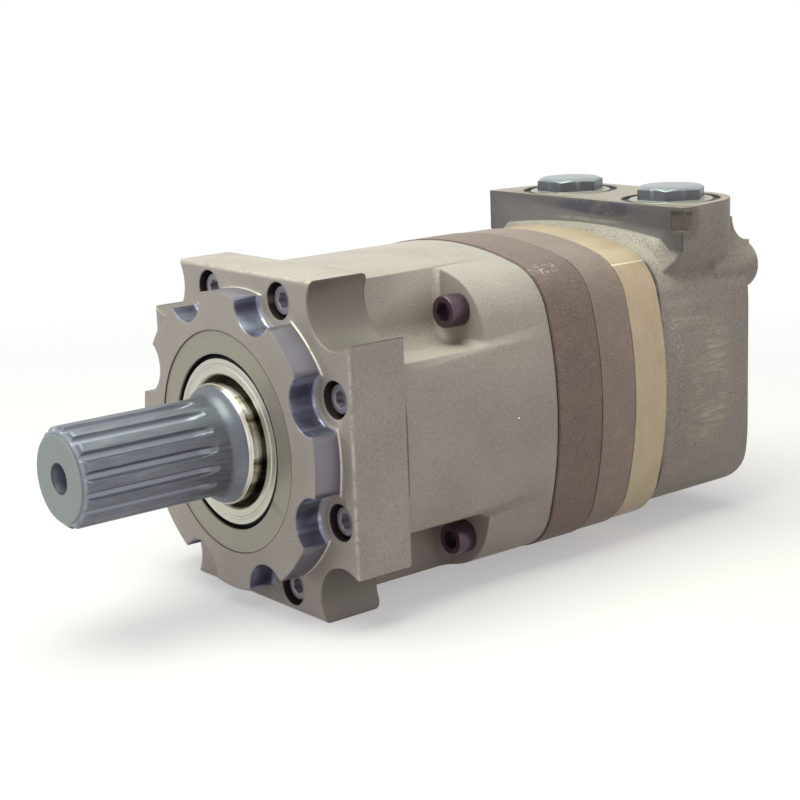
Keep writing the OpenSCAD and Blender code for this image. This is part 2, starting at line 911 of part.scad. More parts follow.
module valve_plate() {
  orbit_room = 1.6;
  pass_room = 2.2;
  recess = 5;
  front_bore_r = drive_pitch_r + head_tip_rise + eccentricity + orbit_room;
  rear_bore_r = pilot_pitch_r + head_tip_rise + pass_room;
  color([0.80, 0.69, 0.52])
    difference() {
      section_plate(section_half - plate_inset, plate_y, valve_y);
      rod_y(front_bore_r, plate_y - cut, plate_y + recess);
      rod_y(rear_bore_r, plate_y, valve_y + cut);
      for (k = [0:rollers - 1])
        rotate([0, -roller_angle(k + 0.5), 0])
          translate([plate_port_circle_r, 0, 0])
            rod_y(plate_port_r, plate_y - cut, valve_y + cut, small_fn);
      tie_holes(plate_y - cut, valve_y + cut);
      pin_holes(plate_y - cut, valve_y + cut);
      seal_groove(seal_circle_r, plate_y);
    }
}

module valve_plate_seal() {
  color([0.12, 0.12, 0.12])
    round_seal(seal_circle_r, seal_wire_r, valve_y + seal_wire_r);
}

// Port pad: square at the front, rounded around the two ports at the rear
module pad_outline() {
  half_gap = port_spacing / 2;
  straight_end = pad_front_y + pad_straight_l;
  polygon([[-pad_half, pad_front_y], [pad_half, pad_front_y], [pad_half, straight_end],
           [half_gap + pad_round_r, port_y], [half_gap, port_y + pad_round_r],
           [-half_gap, port_y + pad_round_r], [-half_gap - pad_round_r, port_y], [-pad_half, straight_end]]);
  intersection() {
    for (s = [-1, 1])
      translate([s * half_gap, port_y])
        circle(r = pad_round_r, $fn = turned_fn);
    translate([-pad_half, pad_front_y])
      square([2 * pad_half, 3 * pad_round_r]);
  }
}

// Solid of revolution that turns a chamfer on the front of the valve housing, wider at the corners
module front_chamfer() {
  inner_r = valve_half - front_land;
  outer_r = 2 * valve_half;
  rise = (outer_r - inner_r) * tan(front_slope);
  turned(wide_fn)
    polygon([[0, valve_y], [inner_r, valve_y], [outer_r, valve_y + rise], [outer_r, rear_y], [0, rear_y]]);
}

// Section of the pad across the axis: straight sides that are drawn in below the shoulder
module pad_section() {
  polygon([[-pad_half, port_z], [pad_half, port_z], [pad_half, skirt_z],
           [pad_half - skirt_in, skirt_z - skirt_drop], [skirt_in - pad_half, skirt_z - skirt_drop],
           [-pad_half, skirt_z]]);
}

// Shoulder that carries the pad: an arched top, flared from the rounded front to a squarer section
module shoulder() {
  start_y = valve_y + flare_lead;
  intersection() {
    slice(start_y, rear_y)
      translate([0, valve_half + shoulder_rise - shoulder_arc_r])
        circle(r = shoulder_arc_r, $fn = wide_fn);
    translate([0, 0, skirt_z - skirt_drop])
      linear_extrude(port_z) {
        pad_outline();
        translate([-pad_half, start_y])
          square([2 * pad_half, pad_front_y + cut - start_y]);
      }
    turned(wide_fn)
      polygon([[0, start_y], [valve_half - cut, start_y], [valve_half + flare_w, start_y + flare_w / flare_slope],
               [valve_half + flare_w, rear_y], [0, rear_y]]);
  }
}

// Boss along the axis with a rounded end
module round_boss(r, end_y, rim_r) {
  root_y = end_y - boss_l;
  turned(small_fn) {
    translate([0, root_y])
      square([r, boss_l - rim_r]);
    translate([0, root_y])
      square([r - rim_r, boss_l]);
    translate([r - rim_r, end_y - rim_r])
      circle(r = rim_r, $fn = small_fn);
  }
}

// Web between the pad and the drain boss, hollowed along an arc
module boss_web() {
  top_z = boss_z + boss_r + web_r;
  difference() {
    translate([boss_x - web_w / 2, port_y, boss_z])
      cube([web_w, boss_end_y - web_drop - port_y, top_z - boss_z]);
    translate([boss_x - web_w, boss_end_y - web_drop, top_z])
      rotate([0, 90, 0])
        cylinder(r = web_r, h = 2 * web_w, $fn = turned_fn);
  }
}

// Shallow valley across the right side, behind the front rim
module side_valley() {
  intersection() {
    translate([valve_half - side_arc_r, valve_y + valley_lead, 0])
      rotate([0, valley_turn, 0])
        translate([side_arc_r - valley_depth - valley_sweep_r, 0, 0])
          rotate([-90, 0, 0])
            rotate_extrude($fn = wide_fn)
              translate([valley_sweep_r + valley_r, 0])
                circle(r = valley_r, $fn = small_fn);
    translate([0, valve_y, -valley_low])
      cube([2 * valve_half, valve_l, valley_low + valley_high]);
  }
}

// Scoop in the pad's front right corner
module pad_corner_scoop() {
  translate([pad_half, pad_front_y, port_z - scoop_top - scoop_h])
    cylinder(r = scoop_r, h = scoop_h, $fn = small_fn);
}

module valve_casting() {
  rear_edge_r = 14;
  side_room = 0.4;
  cross_r = gallery_r - 2;
  left_depth_z = 32;
  difference() {
    union() {
      intersection() {
        slice(valve_y, rear_y)
          bulged_square(valve_half);
        soft_block(valve_y, rear_y, valve_half + side_room, joint_step + side_room, rear_edge_r);
        front_chamfer();
      }
      intersection() {
        slice(valve_y, rear_y + pad_round_r)
          pad_section();
        union() {
          linear_extrude(port_z)
            pad_outline();
          shoulder();
        }
      }
      translate([boss_x, 0, boss_z])
        round_boss(boss_r, boss_end_y, boss_rim_r);
      boss_web();
    }
    side_valley();
    pad_corner_scoop();
    rod_y(chamber_r, valve_y - cut, valve_y + chamber_l);
    rod_y(balance_r + seat_play, valve_y, balance_bore_end);
    for (s = [-1, 1])
      translate([s * port_spacing / 2, port_y, 0]) {
        translate([0, 0, port_z - spot_face_depth])
          cylinder(d = spot_face_d, h = spot_face_depth + cut, $fn = turned_fn);
        translate([0, 0, port_z - port_depth])
          cylinder(d = port_tap_d, h = port_depth + cut, $fn = turned_fn);
        translate([0, 0, port_z - spot_face_depth - port_chamfer])
          cylinder(r1 = port_tap_d / 2, r2 = port_tap_d / 2 + port_chamfer, h = port_chamfer + 0.01,
                   $fn = turned_fn);
        translate([0, 0, (s < 0) ? left_depth_z - gallery_r : -gallery_r])
          cylinder(r = gallery_r, h = port_z, $fn = small_fn);
      }
    translate([-port_spacing / 2, 0, left_depth_z])
      rod_y(cross_r, valve_y + chamber_l - cut, port_y, small_fn);
    translate([0, port_y, 0])
      rotate([0, 90, 0])
        cylinder(r = cross_r, h = port_spacing / 2, $fn = small_fn);
    rod_y(gallery_r, balance_bore_end - cut, port_y + cross_r + cut, small_fn);
    tie_holes(valve_y - cut, valve_y + tie_grip + tap_room, tie_d / 2 + seat_play);
    pin_holes(valve_y - cut, valve_y + pin_depth + pin_room);
    seal_groove(seal_circle_r, valve_y);
    translate([boss_x, 0, boss_z]) {
      rod_y(drain_head_r + 0.4, boss_end_y - drain_sink, boss_end_y + cut, small_fn);
      rod_y(drain_r, boss_end_y - drain_depth, boss_end_y, small_fn);
      rod_y(drain_way_r, boss_end_y - drain_way_l, boss_end_y, small_fn);
    }
  }
}

module valve_housing() {
  hub_bore_r = 15;
  hub_lead = 3;
  color([0.40, 0.38, 0.35]) {
    valve_casting();
    tube_y(balance_inner_r - seat_play, hub_bore_r, balance_y + hub_lead, balance_bore_end + hub_lead);
  }
}

module tie_bolts() {
  head_y = pocket_end_y - tie_head_h;
  color([0.20, 0.19, 0.20])
    at_four(tie_offset)
      cap_screw(head_y, tie_head_d / 2, tie_head_h, tie_d / 2, valve_y + tie_grip - pocket_end_y, tie_socket);
}

module alignment_pins() {
  color([0.62, 0.62, 0.64])
    for (s = [-1, 1])
      translate([s * pin_offset, 0, 0])
        rod_y(pin_r, wear_y - pin_depth, valve_y + pin_depth, small_fn);
}

module balance_ring() {
  groove = 2 * balance_wire + balance_groove_room;
  color([0.62, 0.58, 0.50])
    difference() {
      tube_y(balance_r - 0.1, balance_inner_r, balance_y, balance_y + balance_t);
      tube_y(balance_r + cut, balance_r - groove, balance_groove_y, balance_groove_y + balance_groove_w);
      rod_y(balance_inner_r + groove, balance_groove_y, balance_groove_y + balance_groove_w);
      for (k = [0:3])
        rotate([0, k * 90 + 45, 0])
          translate([(balance_r + balance_inner_r) / 2, 0, 0])
            rod_y(spring_pocket_r, balance_y + spring_seat, balance_y + balance_t + cut, small_fn);
    }
}

module balance_seals() {
  y = balance_groove_y + balance_groove_w / 2;
  color([0.12, 0.12, 0.12]) {
    round_seal(balance_r - balance_wire - 0.06, balance_wire, y);
    round_seal(balance_inner_r + balance_wire + 0.06, balance_wire, y);
  }
}

// Coil spring along +Y from the origin: a round wire swept along a helix, ends closed flat
module coil_spring(coil_r, wire_r, turns, free_l) {
  sides = 6;
  per_turn = 12;
  steps = turns * per_turn;
  rise = free_l - 2 * wire_r;
  function wire_point(i, j) =
    let (a = 360 * i / per_turn, b = 360 * j / sides, r = coil_r + wire_r * cos(b))
    [r * cos(a), wire_r + rise * i / steps + wire_r * sin(b), r * sin(a)];
  polyhedron(
    points = [for (i = [0:steps]) for (j = [0:sides - 1]) wire_point(i, j)],
    faces = concat(
      [[for (j = [0:sides - 1]) j]],
      [for (i = [0:steps - 1]) for (j = [0:sides - 1])
        [i * sides + j, (i + 1) * sides + j, (i + 1) * sides + (j + 1) % sides, i * sides + (j + 1) % sides]],
      [[for (j = [sides - 1:-1:0]) steps * sides + j]]));
}

module balance_springs() {
  color([0.66, 0.67, 0.69])
    for (k = [0:3])
      rotate([0, k * 90 + 45, 0])
        translate([(balance_r + balance_inner_r) / 2, balance_y + spring_seat, 0])
          coil_spring(spring_pocket_r - spring_wire_r - spring_play, spring_wire_r, 4,
                      balance_bore_end - balance_y - spring_seat);
}

// Hexagon port plug with a round flange, standing on its spot face
module port_plug(turn) {
  base = port_z - spot_face_depth;
  flange_top = port_z - 0.1;
  top = port_z + plug_rise;
  chamfer = 1.6;
  groove_h = 3.1;
  corner_r = plug_flats / sqrt(3);
  difference() {
    union() {
      translate([0, 0, base - plug_shank_l])
        cylinder(d = port_tap_d - 2 * seat_play, h = plug_shank_l, $fn = turned_fn);
      translate([0, 0, base])
        cylinder(r = plug_flange_r, h = flange_top - base, $fn = turned_fn);
      intersection() {
        translate([0, 0, flange_top])
          rotate(turn)
            cylinder(r = corner_r, h = top - flange_top, $fn = 6);
        union() {
          translate([0, 0, flange_top])
            cylinder(r = corner_r + cut, h = top - flange_top - chamfer, $fn = turned_fn);
          translate([0, 0, top - chamfer])
            cylinder(r1 = corner_r + 0.2, r2 = plug_flats / 2 - 0.6, h = chamfer, $fn = turned_fn);
        }
      }
    }
    translate([0, 0, base - groove_h])
      difference() {
        cylinder(d = port_tap_d + cut, h = groove_h, $fn = turned_fn);
        cylinder(r = port_tap_d / 2 - port_groove, h = groove_h, $fn = turned_fn);
      }
  }
}

module port_plug_left() {
  color([0.31, 0.33, 0.35])
    translate([-port_spacing / 2, port_y, 0])
      port_plug(29.3);
}

module port_plug_right() {
  color([0.31, 0.33, 0.35])
    translate([port_spacing / 2, port_y, 0])
      port_plug(34.2);
}

module port_seal() {
  wire = 1.25;
  translate([0, 0, port_z - spot_face_depth - wire - 0.05])
    rotate_extrude($fn = turned_fn)
      translate([port_tap_d / 2 - port_groove + wire, 0])
        circle(r = wire, $fn = 20);
}

module port_seal_left() {
  color([0.12, 0.12, 0.12])
    translate([-port_spacing / 2, port_y, 0])
      port_seal();
}

module port_seal_right() {
  color([0.12, 0.12, 0.12])
    translate([port_spacing / 2, port_y, 0])
      port_seal();
}

// Case drain plug: a socket-head plug sunk in the rear boss
module drain_plug() {
  head_y = boss_end_y - drain_sink + drain_seal_t;
  color([0.33, 0.34, 0.36])
    translate([boss_x, 0, boss_z])
      difference() {
        union() {
          rod_y(drain_r - seat_play, boss_end_y - drain_depth + 2, head_y + cut, small_fn);
          rod_y(drain_head_r, head_y, boss_end_y - 0.3, small_fn);
        }
        rod_y(drain_socket / sqrt(3), boss_end_y - 6, boss_end_y, 6);
      }
}

module drain_seal() {
  y0 = boss_end_y - drain_sink;
  color([0.66, 0.42, 0.27])
    translate([boss_x, 0, boss_z])
      tube_y(drain_head_r, drain_r, y0, y0 + drain_seal_t);
}

// Output splines: straight grooves that end where the disc cutter lifts out
module spline_grooves() {
  flank = 30;
  pitch = 360 / spline_teeth;
  depth = spline_r - spline_root_r;
  cutter_r = (runout_l * runout_l + depth * depth) / (2 * depth);
  half_top = PI * spline_od / spline_teeth * 0.27;
  half_root = half_top - depth * tan(flank);
  over = 0.4;
  half_over = half_top + over * tan(flank);
  lift_y = -spline_end - runout_l;
  for (k = [0:spline_teeth - 1])
    rotate([0, (k + 0.5) * pitch, 0])
      union() {
        slice(end_y - cut, lift_y)
          polygon([[spline_root_r, -half_root], [spline_r + over, -half_over],
                   [spline_r + over, half_over], [spline_root_r, half_root]]);
        translate([spline_root_r + cutter_r, lift_y, 0])
          rotate_extrude($fn = wide_fn)
            polygon([[cutter_r - depth - over, -half_over], [cutter_r, -half_root],
                     [cutter_r, half_root], [cutter_r - depth - over, half_over]]);
      }
}

module output_shaft() {
  end_room = 3;
  mouth_step = 0.9;
  shoulder_t = 1.2;
  edge = 0.8;
  countersink = 0.9;
  bore_y = drive_front_y - drive_front_half - end_room;
  teeth_end = drive_front_y + drive_front_half + 2;
  shoulder_y = -journal_reach - shoulder_t;
  color([0.60, 0.62, 0.66])
    difference() {
      union() {
        difference() {
          turned()
            polygon([[0, end_y], [spline_r - tip_chamfer, end_y], [spline_r, end_y + tip_chamfer],
                     [spline_r, shoulder_y], [journal_r - edge, shoulder_y], [journal_r, shoulder_y + 2 * edge],
                     [journal_r, collar_y], [collar_r, collar_y + 2], [collar_r, front_cone_y],
                     [seat_r, front_cone_y], [seat_r, shaft_end_y - 1.5], [seat_r - 1.5, shaft_end_y],
                     [0, shaft_end_y]]);
          rod_y(spline_bore_r, bore_y, shaft_end_y + cut);
          rod_y(spline_bore_r + mouth_step, teeth_end, shaft_end_y + cut);
          spline_grooves();
        }
        difference() {
          tube_y(journal_r - edge, spline_r - 0.5, shoulder_y - neck_fillet_r, shoulder_y);
          turned()
            translate([spline_r + neck_fillet_r, shoulder_y - neck_fillet_r])
              circle(r = neck_fillet_r, $fn = turned_fn);
        }
        inner_teeth(drive_pitch_r, spline_bore_r, bore_y, teeth_end);
      }
      rod_y(end_tap_d / 2, end_y - cut, end_y + end_tap_depth, small_fn);
      translate([0, end_y, 0])
        rotate([-90, 0, 0])
          translate([0, 0, -0.01])
            cylinder(r1 = end_tap_d / 2 + countersink, r2 = end_tap_d / 2, h = countersink + 0.01,
                     $fn = small_fn);
    }
}

module drive_spacer() {
  color([0.58, 0.57, 0.52])
    translate([0, 0, -eccentricity])
      rod_y(spacer_r, spacer_y, spacer_y + spacer_t);
}

module star() {
  step = 2.5;
  color([0.62, 0.62, 0.64])
    translate([0, 0, -eccentricity]) {
      difference() {
        slice(ring_y + face_play, plate_y - face_play)
          polygon([for (b = [0:step:360 - step]) star_point(b, roller_r + star_clearance)]);
        rod_y(spline_bore_r, ring_y - cut, plate_y + cut);
      }
      inner_teeth(drive_pitch_r, spline_bore_r, ring_y + face_play, plate_y - face_play);
    }
}

// Dogbone drive: crowned splines at both ends, tilted between the two axes
module main_drive() {
  span = sqrt(pow(drive_rear_y - drive_front_y, 2) + pow(eccentricity, 2));
  nose_r = 6;
  color([0.52, 0.52, 0.54])
    translate([0, drive_front_y, 0])
      rotate([-drive_tilt, 0, 0]) {
        spline_head(drive_pitch_r, drive_front_half, 0.5);
        rod_y(drive_shank_r, 0, span);
        rod_y(nose_r, -drive_front_half - 2.2, 0, small_fn);
        translate([0, span, 0])
          spline_head(drive_pitch_r, drive_rear_half, 0.3);
        rod_y(nose_r, span, span + drive_rear_half + 1.4, small_fn);
      }
}

module valve_drive() {
  span = sqrt(pow(valve_mesh_y - valve_head_y, 2) + pow(eccentricity, 2));
  shank_r = 10;
  nose_r = 4;
  color([0.55, 0.55, 0.57])
    translate([0, valve_mesh_y, 0])
      rotate([valve_tilt, 0, 0]) {
        spline_head(pilot_pitch_r, valve_mesh_half, 0.4);
        rod_y(shank_r, -span, 0);
        rod_y(nose_r, 0, valve_mesh_half + 2, small_fn);
        translate([0, -span, 0])
          spline_head(drive_pitch_r, valve_head_half, 0.2);
        rod_y(nose_r, -span - valve_head_half - 1.8, -span, small_fn);
      }
}

// Disc valve: outer notches feed from the chamber, inner holes feed from behind
module rotary_valve() {
  bore_r = pilot_pitch_r + 1.9;
  hub_r = 32;
  floor_t = 3;
  y0 = valve_y + face_play;
  color([0.66, 0.66, 0.68]) {
    difference() {
      union() {
        rod_y(disc_r, y0, valve_y + disc_t);
        rod_y(hub_r, valve_y + disc_t - cut, valve_y + valve_t);
      }
      rod_y(bore_r, valve_y - cut, valve_y + valve_t - floor_t);
      for (k = [0:lobes - 1])
        rotate([0, k * 360 / lobes, 0])
          translate([disc_r - notch_depth, valve_y - cut, -notch_w / 2])
            cube([2 * notch_depth, notch_w + cut, notch_w]);
      for (k = [0:lobes - 1])
        rotate([0, (k + 0.5) * 360 / lobes, 0])
          translate([feed_circle_r, 0, 0])
            rod_y(feed_hole_r, valve_y - cut, valve_y + disc_t + cut, small_fn);
    }
    inner_teeth(pilot_pitch_r, bore_r, valve_mesh_y - valve_mesh_half - 1.5, valve_y + valve_t - floor_t);
  }
}

module roller(k) {
  color([0.74, 0.75, 0.77])
    rotate([0, -roller_angle(k), 0])
      translate([roller_circle_r, 0, 0])
        rod_y(roller_r, ring_y + face_play, plate_y - face_play, 64);
}

mounting_flange();
flange_screws();
flange_seal();
dust_seal();
shaft_seal();
backup_ring();
bearing_housing();
front_bearing_cup();
rear_bearing_cup();
housing_seal();
wear_plate();
ring_front_seal();
roller_ring();
ring_rear_seal();
valve_plate();
valve_plate_seal();
valve_housing();
tie_bolts();
alignment_pins();
balance_ring();
balance_seals();
balance_springs();
port_plug_left();
port_plug_right();
port_seal_left();
port_seal_right();
drain_plug();
drain_seal();
output_shaft();
front_bearing_cone();
rear_bearing_cone();
bearing_spacer();
bearing_nut();
front_cage();
front_tapers();
rear_cage();
rear_tapers();
drive_spacer();
star();
main_drive();
valve_drive();
rotary_valve();
roller(0);  // roller_1
roller(1);  // roller_2
roller(2);  // roller_3
roller(3);  // roller_4
roller(4);  // roller_5
roller(5);  // roller_6
roller(6);  // roller_7
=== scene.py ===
"""Looks of the orbital hydraulic motor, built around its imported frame. Lengths are in metres."""

import math

import bmesh
import bpy
import numpy as np
from mathutils import Matrix, Vector


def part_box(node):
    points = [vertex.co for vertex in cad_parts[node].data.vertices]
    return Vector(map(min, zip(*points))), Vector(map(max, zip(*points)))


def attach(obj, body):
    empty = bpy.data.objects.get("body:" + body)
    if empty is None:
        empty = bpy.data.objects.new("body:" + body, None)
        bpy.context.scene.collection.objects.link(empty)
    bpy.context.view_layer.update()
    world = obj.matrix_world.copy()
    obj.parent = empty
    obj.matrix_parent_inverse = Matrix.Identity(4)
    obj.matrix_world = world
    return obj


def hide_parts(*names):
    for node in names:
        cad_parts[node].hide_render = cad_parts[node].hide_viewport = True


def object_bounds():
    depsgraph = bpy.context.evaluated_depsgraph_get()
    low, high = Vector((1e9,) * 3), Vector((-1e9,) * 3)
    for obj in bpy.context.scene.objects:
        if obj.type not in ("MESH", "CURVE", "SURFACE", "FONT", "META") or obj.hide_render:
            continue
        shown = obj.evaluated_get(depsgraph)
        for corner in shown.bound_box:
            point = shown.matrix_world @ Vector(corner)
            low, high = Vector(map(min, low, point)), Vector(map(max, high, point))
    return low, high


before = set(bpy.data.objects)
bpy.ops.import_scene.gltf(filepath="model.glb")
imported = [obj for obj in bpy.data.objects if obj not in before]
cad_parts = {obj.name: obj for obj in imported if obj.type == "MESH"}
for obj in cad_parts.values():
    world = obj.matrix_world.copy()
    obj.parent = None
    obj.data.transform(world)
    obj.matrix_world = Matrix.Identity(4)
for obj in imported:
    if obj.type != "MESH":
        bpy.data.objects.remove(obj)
cad_low, cad_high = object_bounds()
MM = 0.001

# Camera: stands at the front right, a little above the shaft, as in the photograph.
# The angles, the distance to the mounting face and the lens were fitted to the flange,
# the pilot, the shaft and the ports.
VIEW_AZIMUTH = math.radians(51.34)
VIEW_ELEVATION = math.radians(13.0)
VIEW_ROLL = math.radians(-2.2)
VIEW_DISTANCE = 0.9833
IMAGE_PX = 800
FOCAL_PX = 1791.8
SHAFT_AXIS_PX = (250.8, 436.6)


def photo_camera():
    """The camera's axes from azimuth, elevation and roll; its place from the pixel of the shaft
    axis in the mounting face and the distance to that point along the view."""
    ca, sa = math.cos(VIEW_AZIMUTH), math.sin(VIEW_AZIMUTH)
    ce, se = math.cos(VIEW_ELEVATION), math.sin(VIEW_ELEVATION)
    back = Vector((sa * ce, -ca * ce, se))
    level = Vector((ca, sa, 0))
    steep = back.cross(level)
    right = level * math.cos(VIEW_ROLL) + steep * math.sin(VIEW_ROLL)
    up = back.cross(right)
    across = (SHAFT_AXIS_PX[0] - IMAGE_PX / 2) / FOCAL_PX * VIEW_DISTANCE
    above = (IMAGE_PX / 2 - SHAFT_AXIS_PX[1]) / FOCAL_PX * VIEW_DISTANCE
    data = bpy.data.cameras.new("photo_camera")
    data.sensor_width = 36
    data.lens = FOCAL_PX / IMAGE_PX * data.sensor_width
    data.clip_start, data.clip_end = 0.05, 20
    camera = bpy.data.objects.new("photo_camera", data)
    bpy.context.scene.collection.objects.link(camera)
    stand = back * VIEW_DISTANCE - right * across - up * above
    axes = Matrix((right, up, back)).transposed().to_4x4()
    camera.matrix_world = Matrix.Translation(stand) @ axes
    bpy.context.scene.camera = camera


photo_camera()
bpy.context.scene.view_settings.view_transform = "Standard"


# Floor, backdrop and lamps: a plain white floor that the flange stands on, a big soft box
# overhead that makes the tops pale, weaker ones for the front and the right side, and an even
# pale surrounding.
FLOOR_SIZE, FLOOR_DROP = 12.0, 0.0002
WHITE_FROM, WHITE_BEYOND = 0.45, 0.95
PAPER_HEX, SEEN_PAPER_HEX, SEEN_GLOW = "#989398", "#cccccc", 0.38
# Each lamp's place, target, width, watts and tint.
LAMPS = {
    "overhead_box": ((-0.04, -0.12, 1.25), (0.0, 0.10, 0.0), 1.2, 18.8, "#f6ffec"),
    "front_box": ((-0.75, -1.50, 0.50), (0.0, 0.0, 0.0), 0.8, 4.8, "#f4f6ff"),
    "side_box": ((1.60, 0.10, 0.45), (0.0, 0.15, 0.0), 1.2, 1.3, "#fff1f4"),
}
SURROUND_HEX = "#fdf1f7"
SURROUND_STRENGTH = 0.36


def linear(hex_colour):
    """An sRGB hex value as linear red, green, blue and 1: the standard's curve for each byte."""
    bytes_ = np.array([int(hex_colour[i:i + 2], 16) for i in (1, 3, 5)]) / 255
    low, high = bytes_ / 12.92, ((bytes_ + 0.055) / 1.055) ** 2.4
    return (*np.where(bytes_ <= 0.04045, low, high).tolist(), 1.0)


def add(tree, kind, *values, **settings):
    """Adds one node to a tree, with its settings and its links. values feed its inputs in order, or
    one dict feeds them by name or number; a node among them stands for its first output."""
    made = tree.nodes.new("ShaderNode" + kind)
    for key, setting in settings.items():
        setattr(made, key, setting)
    by_key = values[0] if values and isinstance(values[0], dict) else dict(enumerate(values))
    for key, value in by_key.items():
        if isinstance(value, bpy.types.Node):
            value = value.outputs[0]
        if isinstance(value, bpy.types.NodeSocket):
            tree.links.new(value, made.inputs[key])
        else:
            made.inputs[key].default_value = value
    return made


def seen_directly(tree):
    """1 for camera, glossy and transmission rays, and 0 for the rest."""
    path = add(tree, "LightPath").outputs
    seen = add(tree, "Math", path["Is Camera Ray"], path["Is Glossy Ray"], operation="MAXIMUM")
    return add(tree, "Math", seen, path["Is Transmission Ray"], operation="MAXIMUM")


def surround():
    """World: an even pale light, and plain white where it is seen."""
    world = bpy.data.worlds.new("pale_surround")
    world.use_nodes = True
    tree = world.node_tree
    tree.nodes.clear()
    lit = add(tree, "Background", {"Color": linear(SURROUND_HEX), "Strength": SURROUND_STRENGTH})
    seen = add(tree, "Background", {"Color": (1, 1, 1, 1), "Strength": 1.0})
    picked = add(tree, "MixShader", seen_directly(tree), lit, seen)
    add(tree, "OutputWorld", {"Surface": picked})
    bpy.context.scene.world = world


def lamp(name, stand, target, size, power, tint):
    """A square soft box that faces its target."""
    data = bpy.data.lights.new(name, "AREA")
    data.shape, data.size, data.energy = "SQUARE", size, power
    data.color = linear(tint)[:3]
    light = bpy.data.objects.new(name, data)
    light.location = stand
    light.rotation_mode = "QUATERNION"
    light.rotation_quaternion = (Vector(target) - Vector(stand)).to_track_quat("-Z", "Y")
    bpy.context.scene.collection.objects.link(light)


def floor():
    """A flat square just under the lowest point, white to the eye and darker in the shadow."""
    half, z = FLOOR_SIZE / 2, cad_low.z - FLOOR_DROP
    mesh = bpy.data.meshes.new("studio_floor")
    mesh.from_pydata([(-half, -half, z), (half, -half, z), (half, half, z), (-half, half, z)], [],
                     [(0, 1, 2, 3)])
    piece = bpy.data.objects.new("studio_floor", mesh)
    bpy.context.scene.collection.objects.link(piece)
    material = bpy.data.materials.new("white_paper")
    material.use_nodes = True
    tree = material.node_tree
    tree.nodes.clear()
    paper = add(tree, "BsdfDiffuse", {"Color": linear(PAPER_HEX)})
    seen_paper = add(tree, "BsdfDiffuse", {"Color": linear(SEEN_PAPER_HEX)})
    glow = add(tree, "Emission", {"Color": (1, 1, 1, 1), "Strength": SEEN_GLOW})
    near = add(tree, "AddShader", seen_paper, glow)
    white = add(tree, "Emission", {"Color": (1, 1, 1, 1), "Strength": 1.0})
    where = add(tree, "TexCoord").outputs["Object"]
    away = add(tree, "VectorMath", where, operation="LENGTH").outputs["Value"]
    seen = add(tree, "MixShader", add(tree, "MapRange", away, WHITE_FROM, WHITE_BEYOND), near, white)
    picked = add(tree, "MixShader", seen_directly(tree), paper, seen)
    add(tree, "OutputMaterial", {"Surface": picked})
    mesh.materials.append(material)


surround()
for lamp_name, settings in LAMPS.items():
    lamp(lamp_name, *settings)
floor()


# Mounting flange and bearing housing: two sand castings in grey iron, shot-blasted and covered
# with a thin light grey film. The pilot is turned and its eight scallops are milled, so their
# walls are bare, dark and glossy.
FILM_HEX = "#b4aca3"
FILM_PALE_HEX = "#bab2a8"
FILM_DARK_HEX = "#aca49b"
CAST_GRAIN = 1.0 * MM
CAST_WAVE = 38 * MM
PIN_HOLE_PITCH = 15 * MM
PILOT_R, PILOT_FRONT_Y, TURNED_FACE_R, DUST_BORE_R = 82.55 * MM, -17 * MM, 61.4 * MM, 48.6 * MM
FLANGE_HALF, NOTCH_R, NOTCH_OFFSET = 92.5 * MM, 21.5 * MM, 224.5 * MM / 2 / math.sqrt(2)
SCREW_CIRCLE_R, SCREW_RECESS_R, SCALLOP_R, SCALLOP_END_Y = 85.5 * MM, 10.2 * MM, 16.5 * MM, -1.1 * MM
TURNING_PITCH, MILLING_PITCH = 0.7 * MM, 8 * MM
HOUSING_SPECK = (90.8 * MM, 116.3 * MM, 4.2 * MM)


def tinted(tree, colour, *tints):
    """A colour with tints laid over it in order, each a (cover, tint) pair. Colours may be hex
    strings, and cover is the share of the tint."""
    for cover, tint in tints:
        pick = [linear(c) if isinstance(c, str) else c for c in (colour, tint)]
        colour = add(tree, "Mix", {0: cover, 6: pick[0], 7: pick[1]}, data_type="RGBA").outputs[2]
    return colour


def shades(tree, value, stops, *tints):
    """A colour that follows a value through its stops, (place, hex shade) pairs in order, and is
    then tinted."""
    ramp = add(tree, "ValToRGB", value)
    marks = ramp.color_ramp.elements
    for mark, (at, shade) in ((marks[0], stops[0]), (marks[-1], stops[-1])):
        mark.position, mark.color = at, linear(shade)
    for at, shade in stops[1:-1]:
        marks.new(at).color = linear(shade)
    return tinted(tree, ramp.outputs[0], *tints)


def mottle(tree, size, detail=4.0, rough=0.55, warp=0.0, stretch=None, where=None):
    """An uneven pattern with features about size metres wide, in the object's own coordinates.
    stretch scales the place along each axis, so a share below 1 draws the pattern out there."""
    where = where or add(tree, "TexCoord").outputs["Object"]
    if stretch:
        where = add(tree, "Mapping", {"Vector": where, "Scale": stretch})
    return add(tree, "TexNoise", {"Vector": where, "Scale": 1 / size, "Detail": detail,
                                  "Roughness": rough, "Distortion": warp})


def new_material(name):
    """An empty material and its node tree."""
    material = bpy.data.materials.new(name)
    material.use_nodes = True
    material.node_tree.nodes.clear()
    return material, material.node_tree


def split(tree):
    """The place in the object's coordinates, and its x, y and z."""
    where = add(tree, "TexCoord").outputs["Object"]
    return (where, *add(tree, "SeparateXYZ", where).outputs[:3])


def radial(tree, first, second):
    """Distance from an axis: the root of the sum of two squares."""
    squares = [add(tree, "Math", v, v, operation="MULTIPLY") for v in (first, second)]
    return add(tree, "Math", add(tree, "Math", *squares, operation="ADD"), operation="SQRT")


def zone(tree, *parts):
    """1 where all parts are 1: their product. A part is a number, an output or node, or a soft step
    (value, low, high), which goes from 0 at low to 1 at high, or between two more numbers."""
    whole = None
    for part in parts:
        if isinstance(part, tuple):
            part = add(tree, "MapRange", *part, interpolation_type="SMOOTHSTEP")
        whole = part if whole is None else add(tree, "Math", whole, part, operation="MULTIPLY")
    return whole


